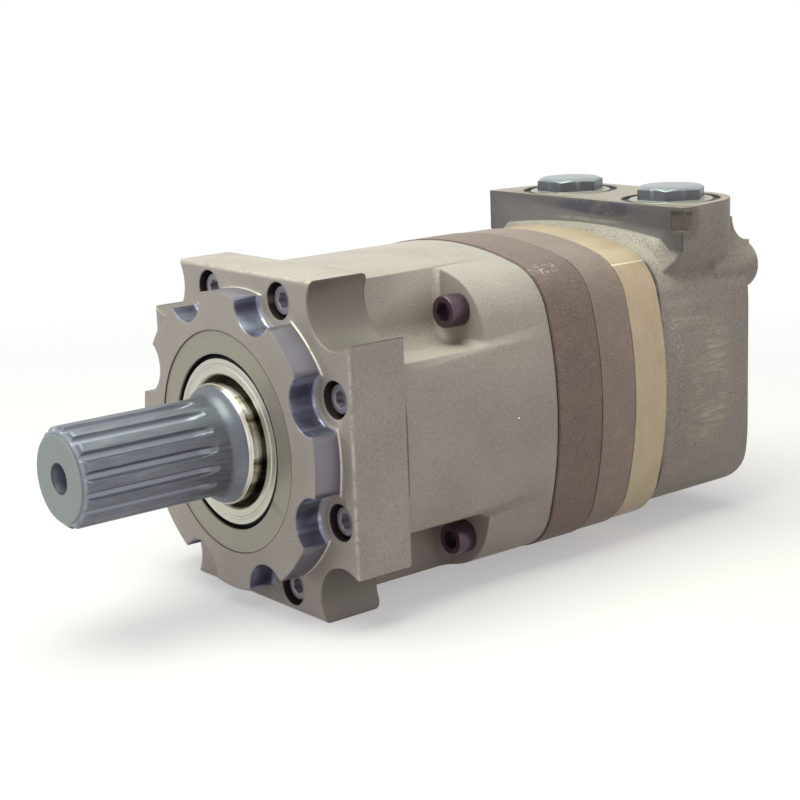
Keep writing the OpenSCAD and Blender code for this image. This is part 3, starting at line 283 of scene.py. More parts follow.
def band(tree, value, low, high, soft):
    """1 where the value lies between low and high, fading to 0 over soft on both sides."""
    return zone(tree, (value, low - soft / 2, low + soft / 2),
                (value, high - soft / 2, high + soft / 2, 1.0, 0.0))


def spot(tree, where, centre, size, stretch=(1, 1, 1)):
    """1 inside a ball of that size about a point, squeezed by stretch along each axis."""
    off = add(tree, "VectorMath", where, centre, operation="SUBTRACT")
    off = add(tree, "VectorMath", off, stretch, operation="MULTIPLY")
    far = add(tree, "VectorMath", off, operation="LENGTH").outputs["Value"]
    return zone(tree, (far, size, 0.6 * size))


def over(tree, look, cover, colour, rough=None, metal=None, relief=None):
    """Lays another finish over a look where cover is 1. A value that isn't given stays."""
    look["colour"] = tinted(tree, look["colour"], (cover, colour))
    for key, value in (("rough", rough), ("metal", metal), ("relief", relief)):
        if value is not None:
            look[key] = add(tree, "Mix", {0: cover, 2: look[key], 3: value})


def finish_material(tree, look, depth, rounding=0.0):
    """The Principled shader of a look, its relief as a bump of that depth in metres. rounding
    softens the shading of sharp edges over that radius."""
    relief = {"Height": look["relief"], "Distance": depth, "Strength": 1.0}
    if rounding:
        relief["Normal"] = add(tree, "Bevel", {"Radius": rounding}, samples=4)
    shader = add(tree, "BsdfPrincipled", {
        "Base Color": look["colour"], "Roughness": look["rough"], "Metallic": look["metal"],
        "Normal": add(tree, "Bump", relief)})
    add(tree, "OutputMaterial", {"Surface": shader})


def film(tree, where):
    """A thin paint-like film on blasted iron. To the eye: pale warm grey, satin, sandy, with very
    faint broad waves and a few pin-holes."""
    waves = mottle(tree, CAST_WAVE, 3.0, 0.5)
    grain = mottle(tree, CAST_GRAIN, 3.0, 0.6)
    holes = add(tree, "TexVoronoi", {"Vector": where, "Scale": 1 / PIN_HOLE_PITCH})
    hole = zone(tree, (holes.outputs["Distance"], 0.018, 0.035, 1.0, 0.0))
    colour = shades(tree, waves, ((0.32, FILM_DARK_HEX), (0.5, FILM_HEX), (0.68, FILM_PALE_HEX)),
                    (zone(tree, (grain, 0.48, 0.64, 0.0, 0.28)), "#d8d1c6"),
                    (zone(tree, (grain, 0.50, 0.34, 0.0, 0.32)), "#857d76"),
                    (zone(tree, hole, 0.6), "#5f5852"))
    swell = add(tree, "Math", waves, 4.0, operation="MULTIPLY")
    relief = add(tree, "Math", grain, swell, operation="ADD")
    return {"colour": colour, "rough": zone(tree, (grain, 0.3, 0.7, 0.46, 0.58)), "metal": 0.12,
            "relief": add(tree, "Math", relief, hole, operation="SUBTRACT")}


def nearest_screw(tree, x, z):
    """Distance from the motor's axis and from the nearest flange screw's: the angle about the
    motor's axis is folded into the eighth that holds one screw in its middle."""
    r = radial(tree, x, z)
    eighth = math.pi / 4
    angle = add(tree, "Math", z, x, operation="ARCTAN2")
    share = add(tree, "Math", add(tree, "Math", angle, eighth, operation="DIVIDE"), operation="FRACT")
    past_middle = add(tree, "Math", share, 0.5, operation="SUBTRACT")
    off = add(tree, "Math", past_middle, eighth, operation="MULTIPLY")
    ahead = add(tree, "Math", r, add(tree, "Math", off, operation="COSINE"), operation="MULTIPLY")
    aside = add(tree, "Math", r, add(tree, "Math", off, operation="SINE"), operation="MULTIPLY")
    return r, radial(tree, add(tree, "Math", ahead, SCREW_CIRCLE_R, operation="SUBTRACT"), aside)


def flange_finish():
    """Film with the machined zones bare. To the eye: scallop walls of bare milled metal with painted
    highlights, the pilot's rim bare and turned, a pale line along its foot, a finely turned face round
    the seal. Painted shade darkens the turned face's edge, the seal's bore, the screw recesses and the
    bare notch walls."""
    material, tree = new_material("grey_film_on_flange_casting")
    where, x, y, z = split(tree)
    look = film(tree, where)
    r, d = nearest_screw(tree, x, z)
    rings = mottle(tree, TURNING_PITCH, 2.0, 0.6, where=add(tree, "CombineXYZ", r))
    wear = mottle(tree, 5 * MM, 4.0, 0.7)
    front = (y, PILOT_FRONT_Y + 1.2 * MM, PILOT_FRONT_Y + 0.9 * MM)
    turned_face = zone(tree, front, (r, TURNED_FACE_R + 0.2 * MM, TURNED_FACE_R - 0.3 * MM))
    turned_colour = tinted(tree, "#9a9487", (zone(tree, (rings, 0.35, 0.65)), "#b1ab9c"))
    over(tree, look, turned_face, turned_colour, 0.40, 0.35, zone(tree, rings, 0.5))
    # Painted shade: a dark line along the edge of the turned face, where the face steps.
    step_shade = band(tree, r, TURNED_FACE_R - 0.2 * MM, TURNED_FACE_R + 0.5 * MM, 0.3 * MM)
    over(tree, look, zone(tree, front, step_shade), "#6f675e", 0.5)
    # Painted shade: the flange's bore behind the seal is painted near black.
    seal_bore_shade = zone(tree, (y, PILOT_FRONT_Y + 1.0 * MM, PILOT_FRONT_Y + 2.4 * MM),
                     (r, DUST_BORE_R + 0.8 * MM, DUST_BORE_R + 0.4 * MM))
    over(tree, look, seal_bore_shade, "#2b2826", 0.5)
    # Bare milled scallop walls with painted highlights: bluish streaks along the axis and a bright band on
    # the fillet at their foot.
    wall = zone(tree, band(tree, y, PILOT_FRONT_Y + 0.1 * MM, SCALLOP_END_Y, 0.8 * MM),
                (d, SCALLOP_R + 1.0 * MM, SCALLOP_R + 0.7 * MM))
    streak_glints = mottle(tree, MILLING_PITCH, 2.0, 0.5, stretch=(1, 0.07, 1))
    milled = shades(tree, streak_glints, ((0.38, "#6b6a7e"), (0.5, "#85889e"), (0.62, "#b0b6cc")))
    over(tree, look, wall, milled, 0.26, 0.8, 0.3)
    rim = zone(tree, band(tree, y, PILOT_FRONT_Y + 0.1 * MM, -1.0 * MM, 0.3 * MM),
               (r, PILOT_R - 0.4 * MM, PILOT_R - 0.1 * MM))
    over(tree, look, rim, "#86828c", 0.36, 0.5, zone(tree, rings, 0.3))
    foot = zone(tree, band(tree, y, -1.1 * MM, -0.25 * MM, 0.3 * MM), (r, PILOT_R - 0.4 * MM, PILOT_R),
                (wear, 0.3, 0.45))
    over(tree, look, foot, "#e2dfd2", 0.35, 0.4)
    # Painted shade: the walls of the screw recesses are painted dark red-brown.
    recess_shade = zone(tree, (y, 0.2 * MM, 0.8 * MM),
                  (d, SCREW_RECESS_R + 0.3 * MM, SCREW_RECESS_R + 0.1 * MM))
    over(tree, look, recess_shade, "#3f3230", 0.45, 0.2)
    aside, above = [add(tree, "Math", v, operation="ABSOLUTE") for v in (x, z)]
    from_bolt = [add(tree, "Math", v, NOTCH_OFFSET, operation="SUBTRACT") for v in (aside, above)]
    # Bare cast notch walls, painted darker as shade in the concave notches.
    bare_shaded_notch = zone(tree, (radial(tree, *from_bolt), NOTCH_R + 0.8 * MM, NOTCH_R + 0.3 * MM),
                 (y, 0.3 * MM, 1.2 * MM))
    over(tree, look, bare_shaded_notch, "#857e77", 0.42, 0.3)
    outward = add(tree, "Math", aside, above, operation="MAXIMUM")
    edge = zone(tree, (outward, FLANGE_HALF - 2.2 * MM, FLANGE_HALF - 0.9 * MM),
                (y, 1.8 * MM, 0.6 * MM), (wear, 0.40, 0.60, 0.0, 0.75))
    over(tree, look, edge, "#d8d4c9", 0.38, 0.3)
    finish_material(tree, look, 0.10 * MM, rounding=1.4 * MM)
    return material


def housing_finish():
    """Film over the whole casting. To the eye: plain and sandy, with one bright white speck in a dark
    ring on the right.
    """
    material, tree = new_material("grey_film_on_housing_casting")
    where = split(tree)[0]
    look = film(tree, where)
    over(tree, look, spot(tree, where, HOUSING_SPECK, 1.3 * MM), "#6a625b")
    over(tree, look, spot(tree, where, HOUSING_SPECK, 0.9 * MM), "#f2f4fa", 0.25, 0.6)
    finish_material(tree, look, 0.13 * MM, rounding=1.6 * MM)
    return material


def bare_copy(node, name, edge=0.0, angle=32):
    """A merged copy of a CAD node, its flat triangles joined to whole faces, smooth but for edges
    sharper than the angle, which a bevel of the given width rounds."""
    work = bmesh.new()
    work.from_mesh(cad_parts[node].data)
    bmesh.ops.remove_doubles(work, verts=work.verts, dist=0.002 * MM)
    bmesh.ops.dissolve_limit(work, angle_limit=math.radians(0.4), verts=work.verts, edges=work.edges)
    mesh = bpy.data.meshes.new(name)
    work.to_mesh(mesh)
    work.free()
    mesh.materials.clear()
    mesh.shade_smooth()
    mesh.set_sharp_from_angle(angle=math.radians(angle))
    piece = bpy.data.objects.new(name, mesh)
    bpy.context.scene.collection.objects.link(piece)
    if edge:
        bevel = piece.modifiers.new("soft_edges", "BEVEL")
        bevel.width, bevel.segments, bevel.limit_method = edge, 2, "ANGLE"
        bevel.angle_limit = math.radians(angle)
        bevel.harden_normals = True
        bevel.use_clamp_overlap = True
    return piece


def place(piece, material, body, slot, *nodes):
    """Gives a new piece its finish and its body, and hides the nodes that it stands for. The slot
    argument is not used.
    """
    piece.data.materials.clear()
    piece.data.materials.append(material)
    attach(piece, body)
    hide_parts(*nodes)


place(bare_copy("mounting_flange", "flange_casting"), flange_finish(), "root", "flange_casting",
      "mounting_flange")
place(bare_copy("bearing_housing", "housing_casting"), housing_finish(), "root", "housing_casting",
      "bearing_housing")


# Dust seal: a pressed steel case with a turned rim, pushed into the flange's bore, its lip on
# the journal. Plain bright metal, its rubber lip dark at the inner edge, and painted shade in the gap
# at the outer edge.
TURN_COLUMNS = 192
SEAL_LIP_R, SEAL_GAP_R = 36.65 * MM, 45.75 * MM
# Corners of the case's section: radius, y and fillet, in millimetres.
SEAL_PROFILE = [(36.65, -14.4, 0.6), (37.7, -15.6, 0.5), (41.2, -15.6, 0.25), (41.7, -15.1, 0.2),
                (42.9, -15.1, 0.2), (43.4, -15.6, 0.25), (45.7, -15.6, 0.4), (46.8, -14.3, 0.3),
                (47.1, -11.6, 0.4), (48.57, -10.9, 0.3), (48.57, -4.0, 0.3), (33.62, -4.0, 0.1),
                (33.62, -5.2, 0.1), (36.65, -8.0, 0.4)]


def filleted(corners, count=5):
    """A profile from (radius, y, fillet) corners: a corner with a fillet becomes an arc that
    touches both of its sides."""
    points = [np.array(c[:2], float) for c in corners]
    out = []
    for i, (here, corner) in enumerate(zip(points, corners)):
        fillet = corner[2] if len(corner) > 2 else 0.0
        if not fillet:
            out.append(here)
            continue
        to_last, to_next = points[i - 1] - here, points[(i + 1) % len(points)] - here
        to_last, to_next = to_last / np.linalg.norm(to_last), to_next / np.linalg.norm(to_next)
        half = math.acos(np.clip(to_last @ to_next, -1, 1)) / 2
        middle = (to_last + to_next) / np.linalg.norm(to_last + to_next)
        centre = here + middle * fillet / math.sin(half)
        start = here + to_last * fillet / math.tan(half) - centre
        turn = math.pi - 2 * half
        side = np.sign(start[0] * (here - centre)[1] - start[1] * (here - centre)[0])
        for angle in np.linspace(0, turn, count) * side:
            c, s = math.cos(angle), math.sin(angle)
            out.append(centre + np.array([start[0] * c - start[1] * s, start[0] * s + start[1] * c]))
    return np.array(out)


def surface(name, grid, ring=False):
    """A mesh from a grid of points, rows by columns. Columns always close on themselves; rows do
    for a ring. Points that fall together become one, and faces are turned outwards."""
    rows, columns = grid.shape[:2]
    row = np.arange(rows if ring else rows - 1)[:, None]
    column = np.arange(columns)[None, :]
    after, beside = (row + 1) % rows, (column + 1) % columns
    quads = np.stack([row * columns + column, row * columns + beside,
                      after * columns + beside, after * columns + column], -1).reshape(-1, 4)
    work = bmesh.new()
    mesh = bpy.data.meshes.new(name)
    mesh.from_pydata(grid.reshape(-1, 3).tolist(), [], quads.tolist())
    work.from_mesh(mesh)
    bmesh.ops.remove_doubles(work, verts=work.verts, dist=0.0005 * MM)
    if work.calc_volume(signed=True) < 0:
        bmesh.ops.reverse_faces(work, faces=work.faces)
    work.to_mesh(mesh)
    work.free()
    return mesh


def shown(name, *meshes, angle=28):
    """One object from one or more meshes, smooth but for edges sharper than the angle."""
    work = bmesh.new()
    for mesh in meshes:
        work.from_mesh(mesh)
    whole = bpy.data.meshes.new(name)
    work.to_mesh(whole)
    work.free()
    for mesh in meshes:
        bpy.data.meshes.remove(mesh)
    whole.shade_smooth()
    whole.set_sharp_from_angle(angle=math.radians(angle))
    piece = bpy.data.objects.new(name, whole)
    bpy.context.scene.collection.objects.link(piece)
    return piece


def full_turn(columns):
    """Even angles once around."""
    return np.linspace(0, 2 * np.pi, columns, endpoint=False)


def around_y(rows, angle, centre=(0.0, 0.0)):
    """Grid of a turned surface about an axis along Y, from (radius, y) rows: x = r cos a and
    z = r sin a. A row's radius is one number, or one for each angle."""
    even = np.ones(len(angle))
    radius, along = np.array([r * even for r, _ in rows]), np.array([y * even for _, y in rows])
    return np.stack([centre[0] + radius * np.cos(angle), along, centre[1] + radius * np.sin(angle)], -1)


def worked_metal(name, dark, light, rough, grain, depth, stretch=(1, 1, 1), metallic=1.0, zones=None):
    """Bare metal. To the eye: tool lines or grain, drawn out along an axis, vary its colour
    between two hex values, its roughness and its height. zones adds to the look."""
    material, tree = new_material(name)
    lines = mottle(tree, grain, 3.0, 0.65, stretch=stretch)
    clouds = mottle(tree, 22 * MM, 3.0, 0.5)
    colour = shades(tree, lines, ((0.3, dark), (0.7, light)),
                    (zone(tree, (clouds, 0.35, 0.65, 0.0, 0.5)), dark))
    look = {"colour": colour, "rough": zone(tree, (lines, 0.3, 0.7, rough, rough + 0.10)),
            "metal": metallic, "relief": lines}
    if zones:
        zones(tree, look)
    finish_material(tree, look, depth)
    return material


def seal_zones(tree, look):
    """The rubber lip inside the case, and painted shade in the gap outside it."""
    _, x, _, z = split(tree)
    r = radial(tree, x, z)
    lip = zone(tree, (r, SEAL_LIP_R - 0.03 * MM, SEAL_LIP_R - 0.15 * MM))
    over(tree, look, lip, "#4a4038", 0.45, 0.0)
    # Painted shade: the gap between the case and the flange's bore is painted near black.
    gap = zone(tree, (r, SEAL_GAP_R, SEAL_GAP_R + 0.2 * MM))
    over(tree, look, gap, "#17171c", 0.6, 0.0)


seal_steel = worked_metal("pressed_seal_steel", "#bbb9ae", "#d0cec4", 0.32, 1.2 * MM, 0.01 * MM,
                          stretch=(1, 6, 1), metallic=0.8, zones=seal_zones)
seal_rows = filleted([tuple(MM * v for v in corner) for corner in SEAL_PROFILE])
seal_case = surface("seal_case", around_y(seal_rows, full_turn(TURN_COLUMNS)), ring=True)
place(shown("dust_seal_ring", seal_case), seal_steel, "root", "seal_case", "dust_seal")


# Output shaft: forged alloy steel, its splines hobbed, its sealing journal ground and polished.
# It turns with the two bearing cones and passes the power of the main drive.
SPLINE_TEETH = 16
SPLINE_R, SPLINE_ROOT_R = 26.99 * MM, 24.4 * MM
SHAFT_TIP_Y, SPLINE_END_Y, RUNOUT = -118.4 * MM, -38.0 * MM, 13 * MM
END_HOLE_R, END_HOLE_DEPTH, END_CHAMFER = 7.75 * MM, 34 * MM, 4.0 * MM
NECK_Y, NECK_FILLET_R, DRIVE_BORE_END_Y = -31.5 * MM, 9 * MM, 94 * MM
# Corners behind the neck, over the collar, the journal and the bearing seats into the drive's
# bore: radius, y and fillet, in millimetres.
SHAFT_PROFILE = [(32.75, -22.5, 0.2), (33.55, -20.9, 0.3), (33.55, 25.5, 0.2), (39.5, 27.5, 0.3),
                 (39.5, 39.2, 0.3), (32.5, 39.2, 0.3), (32.5, 143.3, 0.2), (31.0, 144.8, 0.2),
                 (25.5, 144.8, 0.2), (25.5, 121.0, 0.1), (24.6, 121.0, 0.1), (24.6, 94.0, 0.2)]
GROOVE_SHARE, GROOVE_FLANK = 0.27, math.radians(30)
GROOVE_DEPTH = SPLINE_R - SPLINE_ROOT_R
HALF_PITCH = math.pi * SPLINE_R / SPLINE_TEETH
GROOVE_HALF_TOP = 2 * HALF_PITCH * GROOVE_SHARE
GROOVE_HALF_ROOT = GROOVE_HALF_TOP - GROOVE_DEPTH * math.tan(GROOVE_FLANK)


def spline_angles():
    """Angles of the columns: four across half a groove's floor, five up its flank and four over
    half a land, mirrored, and repeated for each tooth."""
    land = (HALF_PITCH - GROOVE_HALF_TOP) * np.array([0.08, 0.35, 0.7, 1.0])
    half = np.concatenate([np.linspace(0, GROOVE_HALF_ROOT, 4),
                           np.linspace(GROOVE_HALF_ROOT, GROOVE_HALF_TOP, 6)[1:], GROOVE_HALF_TOP + land])
    tooth = np.concatenate([-half[1:-1][::-1], half]) / SPLINE_R
    pitch = 2 * np.pi / SPLINE_TEETH
    return ((np.arange(SPLINE_TEETH)[:, None] + 0.5) * pitch + tooth).ravel()


def groove_limit(angle, y):
    """The radius that the disc cutter leaves: its rim falls off beside the groove's floor along
    the flank, and past the lift it climbs out of the blank along its own radius."""
    pitch = 2 * np.pi / SPLINE_TEETH
    across = np.abs((angle / pitch) % 1.0 - 0.5) * pitch * SPLINE_R
    cutter_r = (RUNOUT ** 2 + GROOVE_DEPTH ** 2) / (2 * GROOVE_DEPTH)
    beside = across - GROOVE_HALF_ROOT
    beside = (beside + np.sqrt(beside ** 2 + (0.3 * MM) ** 2)) / 2
    rim_r = cutter_r - beside / math.tan(GROOVE_FLANK)
    past = max(y - (SPLINE_END_Y - RUNOUT), 0.0)
    climb = np.sqrt(np.maximum(rim_r ** 2 - past ** 2, 0))
    return np.where(rim_r > past, SPLINE_ROOT_R + cutter_r - climb, 2 * SPLINE_R)


def shaft_grid():
    """Rows from the centre hole's floor over the end face and the splines to the bored rear end.
    In the spline zone a row's radius is the smaller of the blank and the groove cutter."""
    angle = spline_angles()
    tip = SHAFT_TIP_Y
    hole = [(0, tip + END_HOLE_DEPTH), (END_HOLE_R, tip + END_HOLE_DEPTH), (END_HOLE_R, tip + 1.1 * MM),
            (END_HOLE_R + 0.15 * MM, tip + 0.75 * MM), (END_HOLE_R + 0.75 * MM, tip + 0.15 * MM),
            (END_HOLE_R + 0.95 * MM, tip)]
    inner_r = hole[-1][0]
    rim = np.minimum(SPLINE_R - END_CHAMFER, groove_limit(angle, tip) - 0.05 * MM)
    rows = hole + [(inner_r + (rim - inner_r) * share, tip) for share in (0.35, 0.7, 0.93)]
    blank_rows = [(SPLINE_R - END_CHAMFER, tip)]
    blank_rows += [(SPLINE_R - END_CHAMFER * (1 - share), tip + END_CHAMFER * share - 0.1 * MM)
                   for share in np.linspace(0.06, 0.94, 12)]
    blank_rows += [(SPLINE_R, tip + END_CHAMFER + 0.2 * MM)]
    blank_rows += [(SPLINE_R, y)
                   for y in np.linspace(tip + END_CHAMFER + 1.5 * MM, SPLINE_END_Y - RUNOUT, 12)]
    blank_rows += [(SPLINE_R, y) for y in np.linspace(SPLINE_END_Y - RUNOUT, SPLINE_END_Y + 1 * MM, 43)[1:]]
    rows += [(np.minimum(r, groove_limit(angle, y)) if y < SPLINE_END_Y else r, y)
             for r, y in blank_rows]
    rows.append((SPLINE_R, NECK_Y))
    rows += [(SPLINE_R + NECK_FILLET_R - NECK_FILLET_R * math.cos(a), NECK_Y + NECK_FILLET_R * math.sin(a))
             for a in np.linspace(0.1, 1.12, 12)]
    rows += [tuple(p) for p in filleted([tuple(MM * v for v in corner) for corner in SHAFT_PROFILE], 4)]
    rows.append((0, DRIVE_BORE_END_Y))
    return around_y(rows, angle)


def shaft_zones(tree, look):
    """The turned end face, with its hole painted dark as shade; the grooves between the splines, painted
    paler to lift their shade; and the journal: mirror-like, with painted reflections in dark brown
    and cream bands round it and a painted highlight along its front edge."""
    _, x, y, z = split(tree)
    r = radial(tree, x, z)
    end_face = zone(tree, (y, SHAFT_TIP_Y + 0.4 * MM, SHAFT_TIP_Y + 0.1 * MM))
    over(tree, look, end_face, "#8e9694", 0.42, 0.6)
    # Painted shade: the centre hole is painted dark.
    hole = zone(tree, (r, END_HOLE_R + 0.8 * MM, END_HOLE_R + 0.3 * MM), (y, -60 * MM, -80 * MM))
    over(tree, look, hole, "#33353a", 0.45, 0.6)
    # Painted light: the grooves are painted paler to lift their shade.
    grooves = zone(tree, (r, SPLINE_R - 0.9 * MM, SPLINE_R - 2.2 * MM),
                   band(tree, y, SHAFT_TIP_Y + 1 * MM, -36 * MM, 1 * MM))
    over(tree, look, grooves, "#9498a4", 0.36, 0.6)
    # Painted reflections: dark brown and cream bands round the journal.
    reflection_bands = mottle(tree, 13 * MM, 3.0, 0.6, warp=0.4, stretch=(1, 0.35, 1))
    polished = shades(tree, reflection_bands, ((0.38, "#584f45"), (0.47, "#a59c8c"), (0.58, "#d3d2cb")))
    over(tree, look, band(tree, y, -22.3 * MM, 26 * MM, 0.4 * MM), polished, 0.07, 1.0, 0.02)
    # Painted highlight: a cream line along the journal's front edge.
    over(tree, look, band(tree, y, -23.2 * MM, -21.4 * MM, 0.3 * MM), "#cac6ba", 0.2, 1.0, 0.02)


shaft_piece = shown("splined_shaft", surface("splined_shaft", shaft_grid()), angle=35)
shaft_steel = worked_metal("hobbed_and_ground_shaft_steel", "#666972", "#858991", 0.36, 0.8 * MM, 0.03 * MM,
                           stretch=(1, 0.06, 1), metallic=0.75, zones=shaft_zones)
place(shaft_piece, shaft_steel, "shaft", "shaft_steel", "output_shaft")


# Flange screws and tie bolts: forged socket-head screws. The eight flange screws are oiled grey
# and sunk in the flange; the four long black tie bolts have their heads in the corner pockets.
SCREW_COLUMNS = 48
FLANGE_SCREW = {"head_y": 3.2 * MM, "head_r": 8 * MM, "head_h": 10 * MM, "shank_r": 5 * MM,
                "length": 40.8 * MM, "flats": 8 * MM}
TIE_BOLT = {"head_y": 86 * MM, "head_r": 9 * MM, "head_h": 12 * MM, "shank_r": 6 * MM,
            "length": 164.5 * MM, "flats": 10 * MM}
TIE_OFFSET = 64.5 * MM
SOCKET_PALE_R = 4.3 * MM


def hexagon(angle, flats):
    """Radius of a hexagon across its flats, its corners very slightly rounded."""
    off = (angle + np.pi / 6) % (np.pi / 3) - np.pi / 6
    return np.minimum(flats / 2 / np.cos(off), flats / math.sqrt(3) * 0.985)


def socket_screw(centre, turn, head_y, head_r, head_h, shank_r, length, flats):
    """Rows from the socket's floor over the rim and the head to the end of the shank."""
    angle = full_turn(SCREW_COLUMNS)
    socket = hexagon(angle + turn, flats)
    floor_y, end_y = head_y + 0.48 * head_h, head_y + head_h + length
    rows = [(0, floor_y), (socket * 0.97, floor_y), (socket, floor_y - 0.3 * MM),
            (socket, head_y + 0.4 * MM), (head_r - 2.6 * MM, head_y)]
    outer = [(head_r - 2.2 * MM, head_y), (head_r, head_y, 0.9 * MM),
             (head_r, head_y + head_h, 0.3 * MM), (shank_r, head_y + head_h, 0.3 * MM),
             (shank_r, end_y, 0.7 * MM), (0, end_y)]
    rows += [tuple(p) for p in filleted(outer)]
    return surface("screw", around_y(rows, angle, centre))


def socket_film_and_light(tree, look):
    """Sockets painted pale and matt: grey film that has run into them, and painted light that lifts their
    shade.
    """
    _, x, _, z = split(tree)
    from_axis = nearest_screw(tree, x, z)[1]
    # Painted light as well as film: the sockets are painted pale to lift their shade.
    sockets = zone(tree, (from_axis, SOCKET_PALE_R, SOCKET_PALE_R - 0.4 * MM))
    over(tree, look, sockets, "#b1a9b3", 0.6, 0.0)


screw_steel = worked_metal("oiled_grey_screw_steel", "#8c888f", "#aba8b0", 0.40, 0.7 * MM, 0.03 * MM,
                           metallic=0.5, zones=socket_film_and_light)
black_steel = worked_metal("black_oxide_bolt_steel", "#503f4a", "#745f6c", 0.28, 0.8 * MM, 0.03 * MM,
                           metallic=0.7)
screw_places = [(SCREW_CIRCLE_R * math.cos(a), SCREW_CIRCLE_R * math.sin(a))
                for a in np.radians(22.5 + 45 * np.arange(8))]
screws = [socket_screw(p, 0.35 * k, **FLANGE_SCREW) for k, p in enumerate(screw_places)]
place(shown("flange_cap_screws", *screws), screw_steel, "root", "screw_steel", "flange_screws")
tie_places = [(sx * TIE_OFFSET, sz * TIE_OFFSET) for sx in (-1, 1) for sz in (-1, 1)]
ties = [socket_screw(p, 0.5 * k, **TIE_BOLT) for k, p in enumerate(tie_places)]
place(shown("tie_cap_screws", *ties), black_steel, "root", "black_bolt", "tie_bolts")


# Wear plate, roller ring and valve plate: ground iron and steel plates clamped between the
# castings. Their rims keep different skins: brown oxide, taupe oxide, and pale gold chromate.
JOINT_LINE, PLATE_EDGE, SCRIBED_Z = 0.35 * MM, 0.3 * MM, 75.2 * MM
FLECK_ROW = (76.0 * MM, 157.0 * MM, 80.0 * MM)
FLECK_SINGLE = (77.6 * MM, 171.0 * MM, 76.8 * MM)


def joint_line(tree, look, y, node):
    """Dark oily lines along both ends of a plate, where it meets its neighbours."""
    low, high = (corner.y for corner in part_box(node))
    inside = band(tree, y, low + JOINT_LINE, high - JOINT_LINE, 0.3 * MM)
    over(tree, look, add(tree, "Math", 1.0, inside, operation="SUBTRACT"), "#332d38", 0.5, 0.0)


def oxide_skin(tree, dark, middle, light):
    """Heat-treatment skin on a plate's rim. To the eye: matt, faintly clouded, with a fine grain."""
    clouds = mottle(tree, 16 * MM, 4.0, 0.55)
    grain = mottle(tree, 0.8 * MM, 3.0, 0.6)
    colour = shades(tree, clouds, ((0.3, dark), (0.5, middle), (0.72, light)),
                    (zone(tree, (grain, 0.48, 0.62, 0.0, 0.28)), "#b5a79b"),
                    (zone(tree, (grain, 0.50, 0.34, 0.0, 0.34)), "#4f423c"))
    return {"colour": colour, "rough": zone(tree, (clouds, 0.3, 0.7, 0.46, 0.58)), "metal": 0.25,
            "relief": grain}


def brown_oxide():
    """To the eye: the darkest plate, with a row of bright specks over its upper right corner and
    one larger fleck."""
    material, tree = new_material("brown_oxide_skin")
    where, _, y, _ = split(tree)
    look = oxide_skin(tree, "#74625a", "#7e6b62", "#89776d")
    specks = (mottle(tree, 1.7 * MM, 2.0, 0.8), 0.55, 0.66)
    row = spot(tree, where, FLECK_ROW, 17 * MM, stretch=(0.8, 1, 4.5))
    over(tree, look, zone(tree, specks, row, 0.8), "#dddcd4", 0.3, 0.5)
    over(tree, look, spot(tree, where, FLECK_SINGLE, 2.6 * MM, stretch=(1, 0.8, 1)), "#ddd6bf", 0.3, 0.4)
    joint_line(tree, look, y, "wear_plate")
    finish_material(tree, look, 0.06 * MM, rounding=0.5 * MM)
    return material


def taupe_oxide():
    """To the eye: a plain taupe rim, a little paler than the wear plate."""
    material, tree = new_material("taupe_oxide_skin")
    look = oxide_skin(tree, "#8e7d73", "#96857b", "#a19086")
    joint_line(tree, look, split(tree)[2], "roller_ring")
    finish_material(tree, look, 0.05 * MM, rounding=0.5 * MM)
    return material


def gold_chromate():
    """Chromate film on a machined rim. To the eye: pale gold, satin, with fine lines round it and
    one bright scribed line across its upper right corner."""
    material, tree = new_material("pale_gold_chromate")
    _, x, y, z = split(tree)
    lines = mottle(tree, 0.7 * MM, 2.0, 0.6, stretch=(0.05, 1, 0.05))
    clouds = mottle(tree, 13 * MM, 4.0, 0.6)
    grain = mottle(tree, 0.9 * MM, 2.0, 0.6)
    colour = shades(tree, clouds, ((0.3, "#bca98a"), (0.52, "#c4b193"), (0.75, "#ccba9d")),
                    (zone(tree, (lines, 0.35, 0.7, 0.0, 0.35)), "#d8c9ab"),
                    (zone(tree, (grain, 0.45, 0.28, 0.0, 0.35)), "#9a8a70"))
    look = {"colour": colour, "metal": 0.4, "rough": zone(tree, (lines, 0.3, 0.7, 0.36, 0.48)),
            "relief": lines}
    right = zone(tree, (x, 55 * MM, 62 * MM))
    scribed = band(tree, z, SCRIBED_Z - 0.4 * MM, SCRIBED_Z + 0.4 * MM, 0.3 * MM)
    over(tree, look, zone(tree, right, scribed), "#f6efd6", 0.3)
    above = zone(tree, (z, SCRIBED_Z + 0.5 * MM, SCRIBED_Z + 1.0 * MM, 0.0, 0.4))
    over(tree, look, zone(tree, right, above), "#dccfae")
    joint_line(tree, look, y, "valve_plate")
    finish_material(tree, look, 0.03 * MM, rounding=0.5 * MM)
    return material


for plate, finish, plate_slot in (("wear_plate", brown_oxide, "wear_plate_iron"),
                                  ("roller_ring", taupe_oxide, "ring_iron"),
                                  ("valve_plate", gold_chromate, "valve_plate_iron")):
    place(bare_copy(plate, plate + "_rim", PLATE_EDGE), finish(), "root", plate_slot, plate)


# Valve housing: a rough sand casting with the raised port pad, two spot faces and a drain boss.
# Its skin is dark; fixtures have rubbed pale level streaks into the right side, and its front
# edge is turned bare.
PORT_X, PORT_Y, PORT_Z = 44 * MM, 290 * MM, 104.5 * MM
SPOT_FACE_R, SPOT_FACE_Z = 30.4 * MM, 102.9 * MM
VALVE_FRONT_Y, CHAMFER_R, CHAMFER_SLOPE = 236.5 * MM, 84 * MM, math.tan(math.radians(22))
SECTION_CORNER_R = 113 * MM
PAD_FRONT_Y = 256 * MM
PAD_SCOOP = (80 * MM, 260 * MM, 96 * MM)
PAD_RUBBED_HIGH, PAD_RUBBED_LOW = (14 * MM, PAD_FRONT_Y, 100 * MM), (6 * MM, PAD_FRONT_Y, 92.2 * MM)
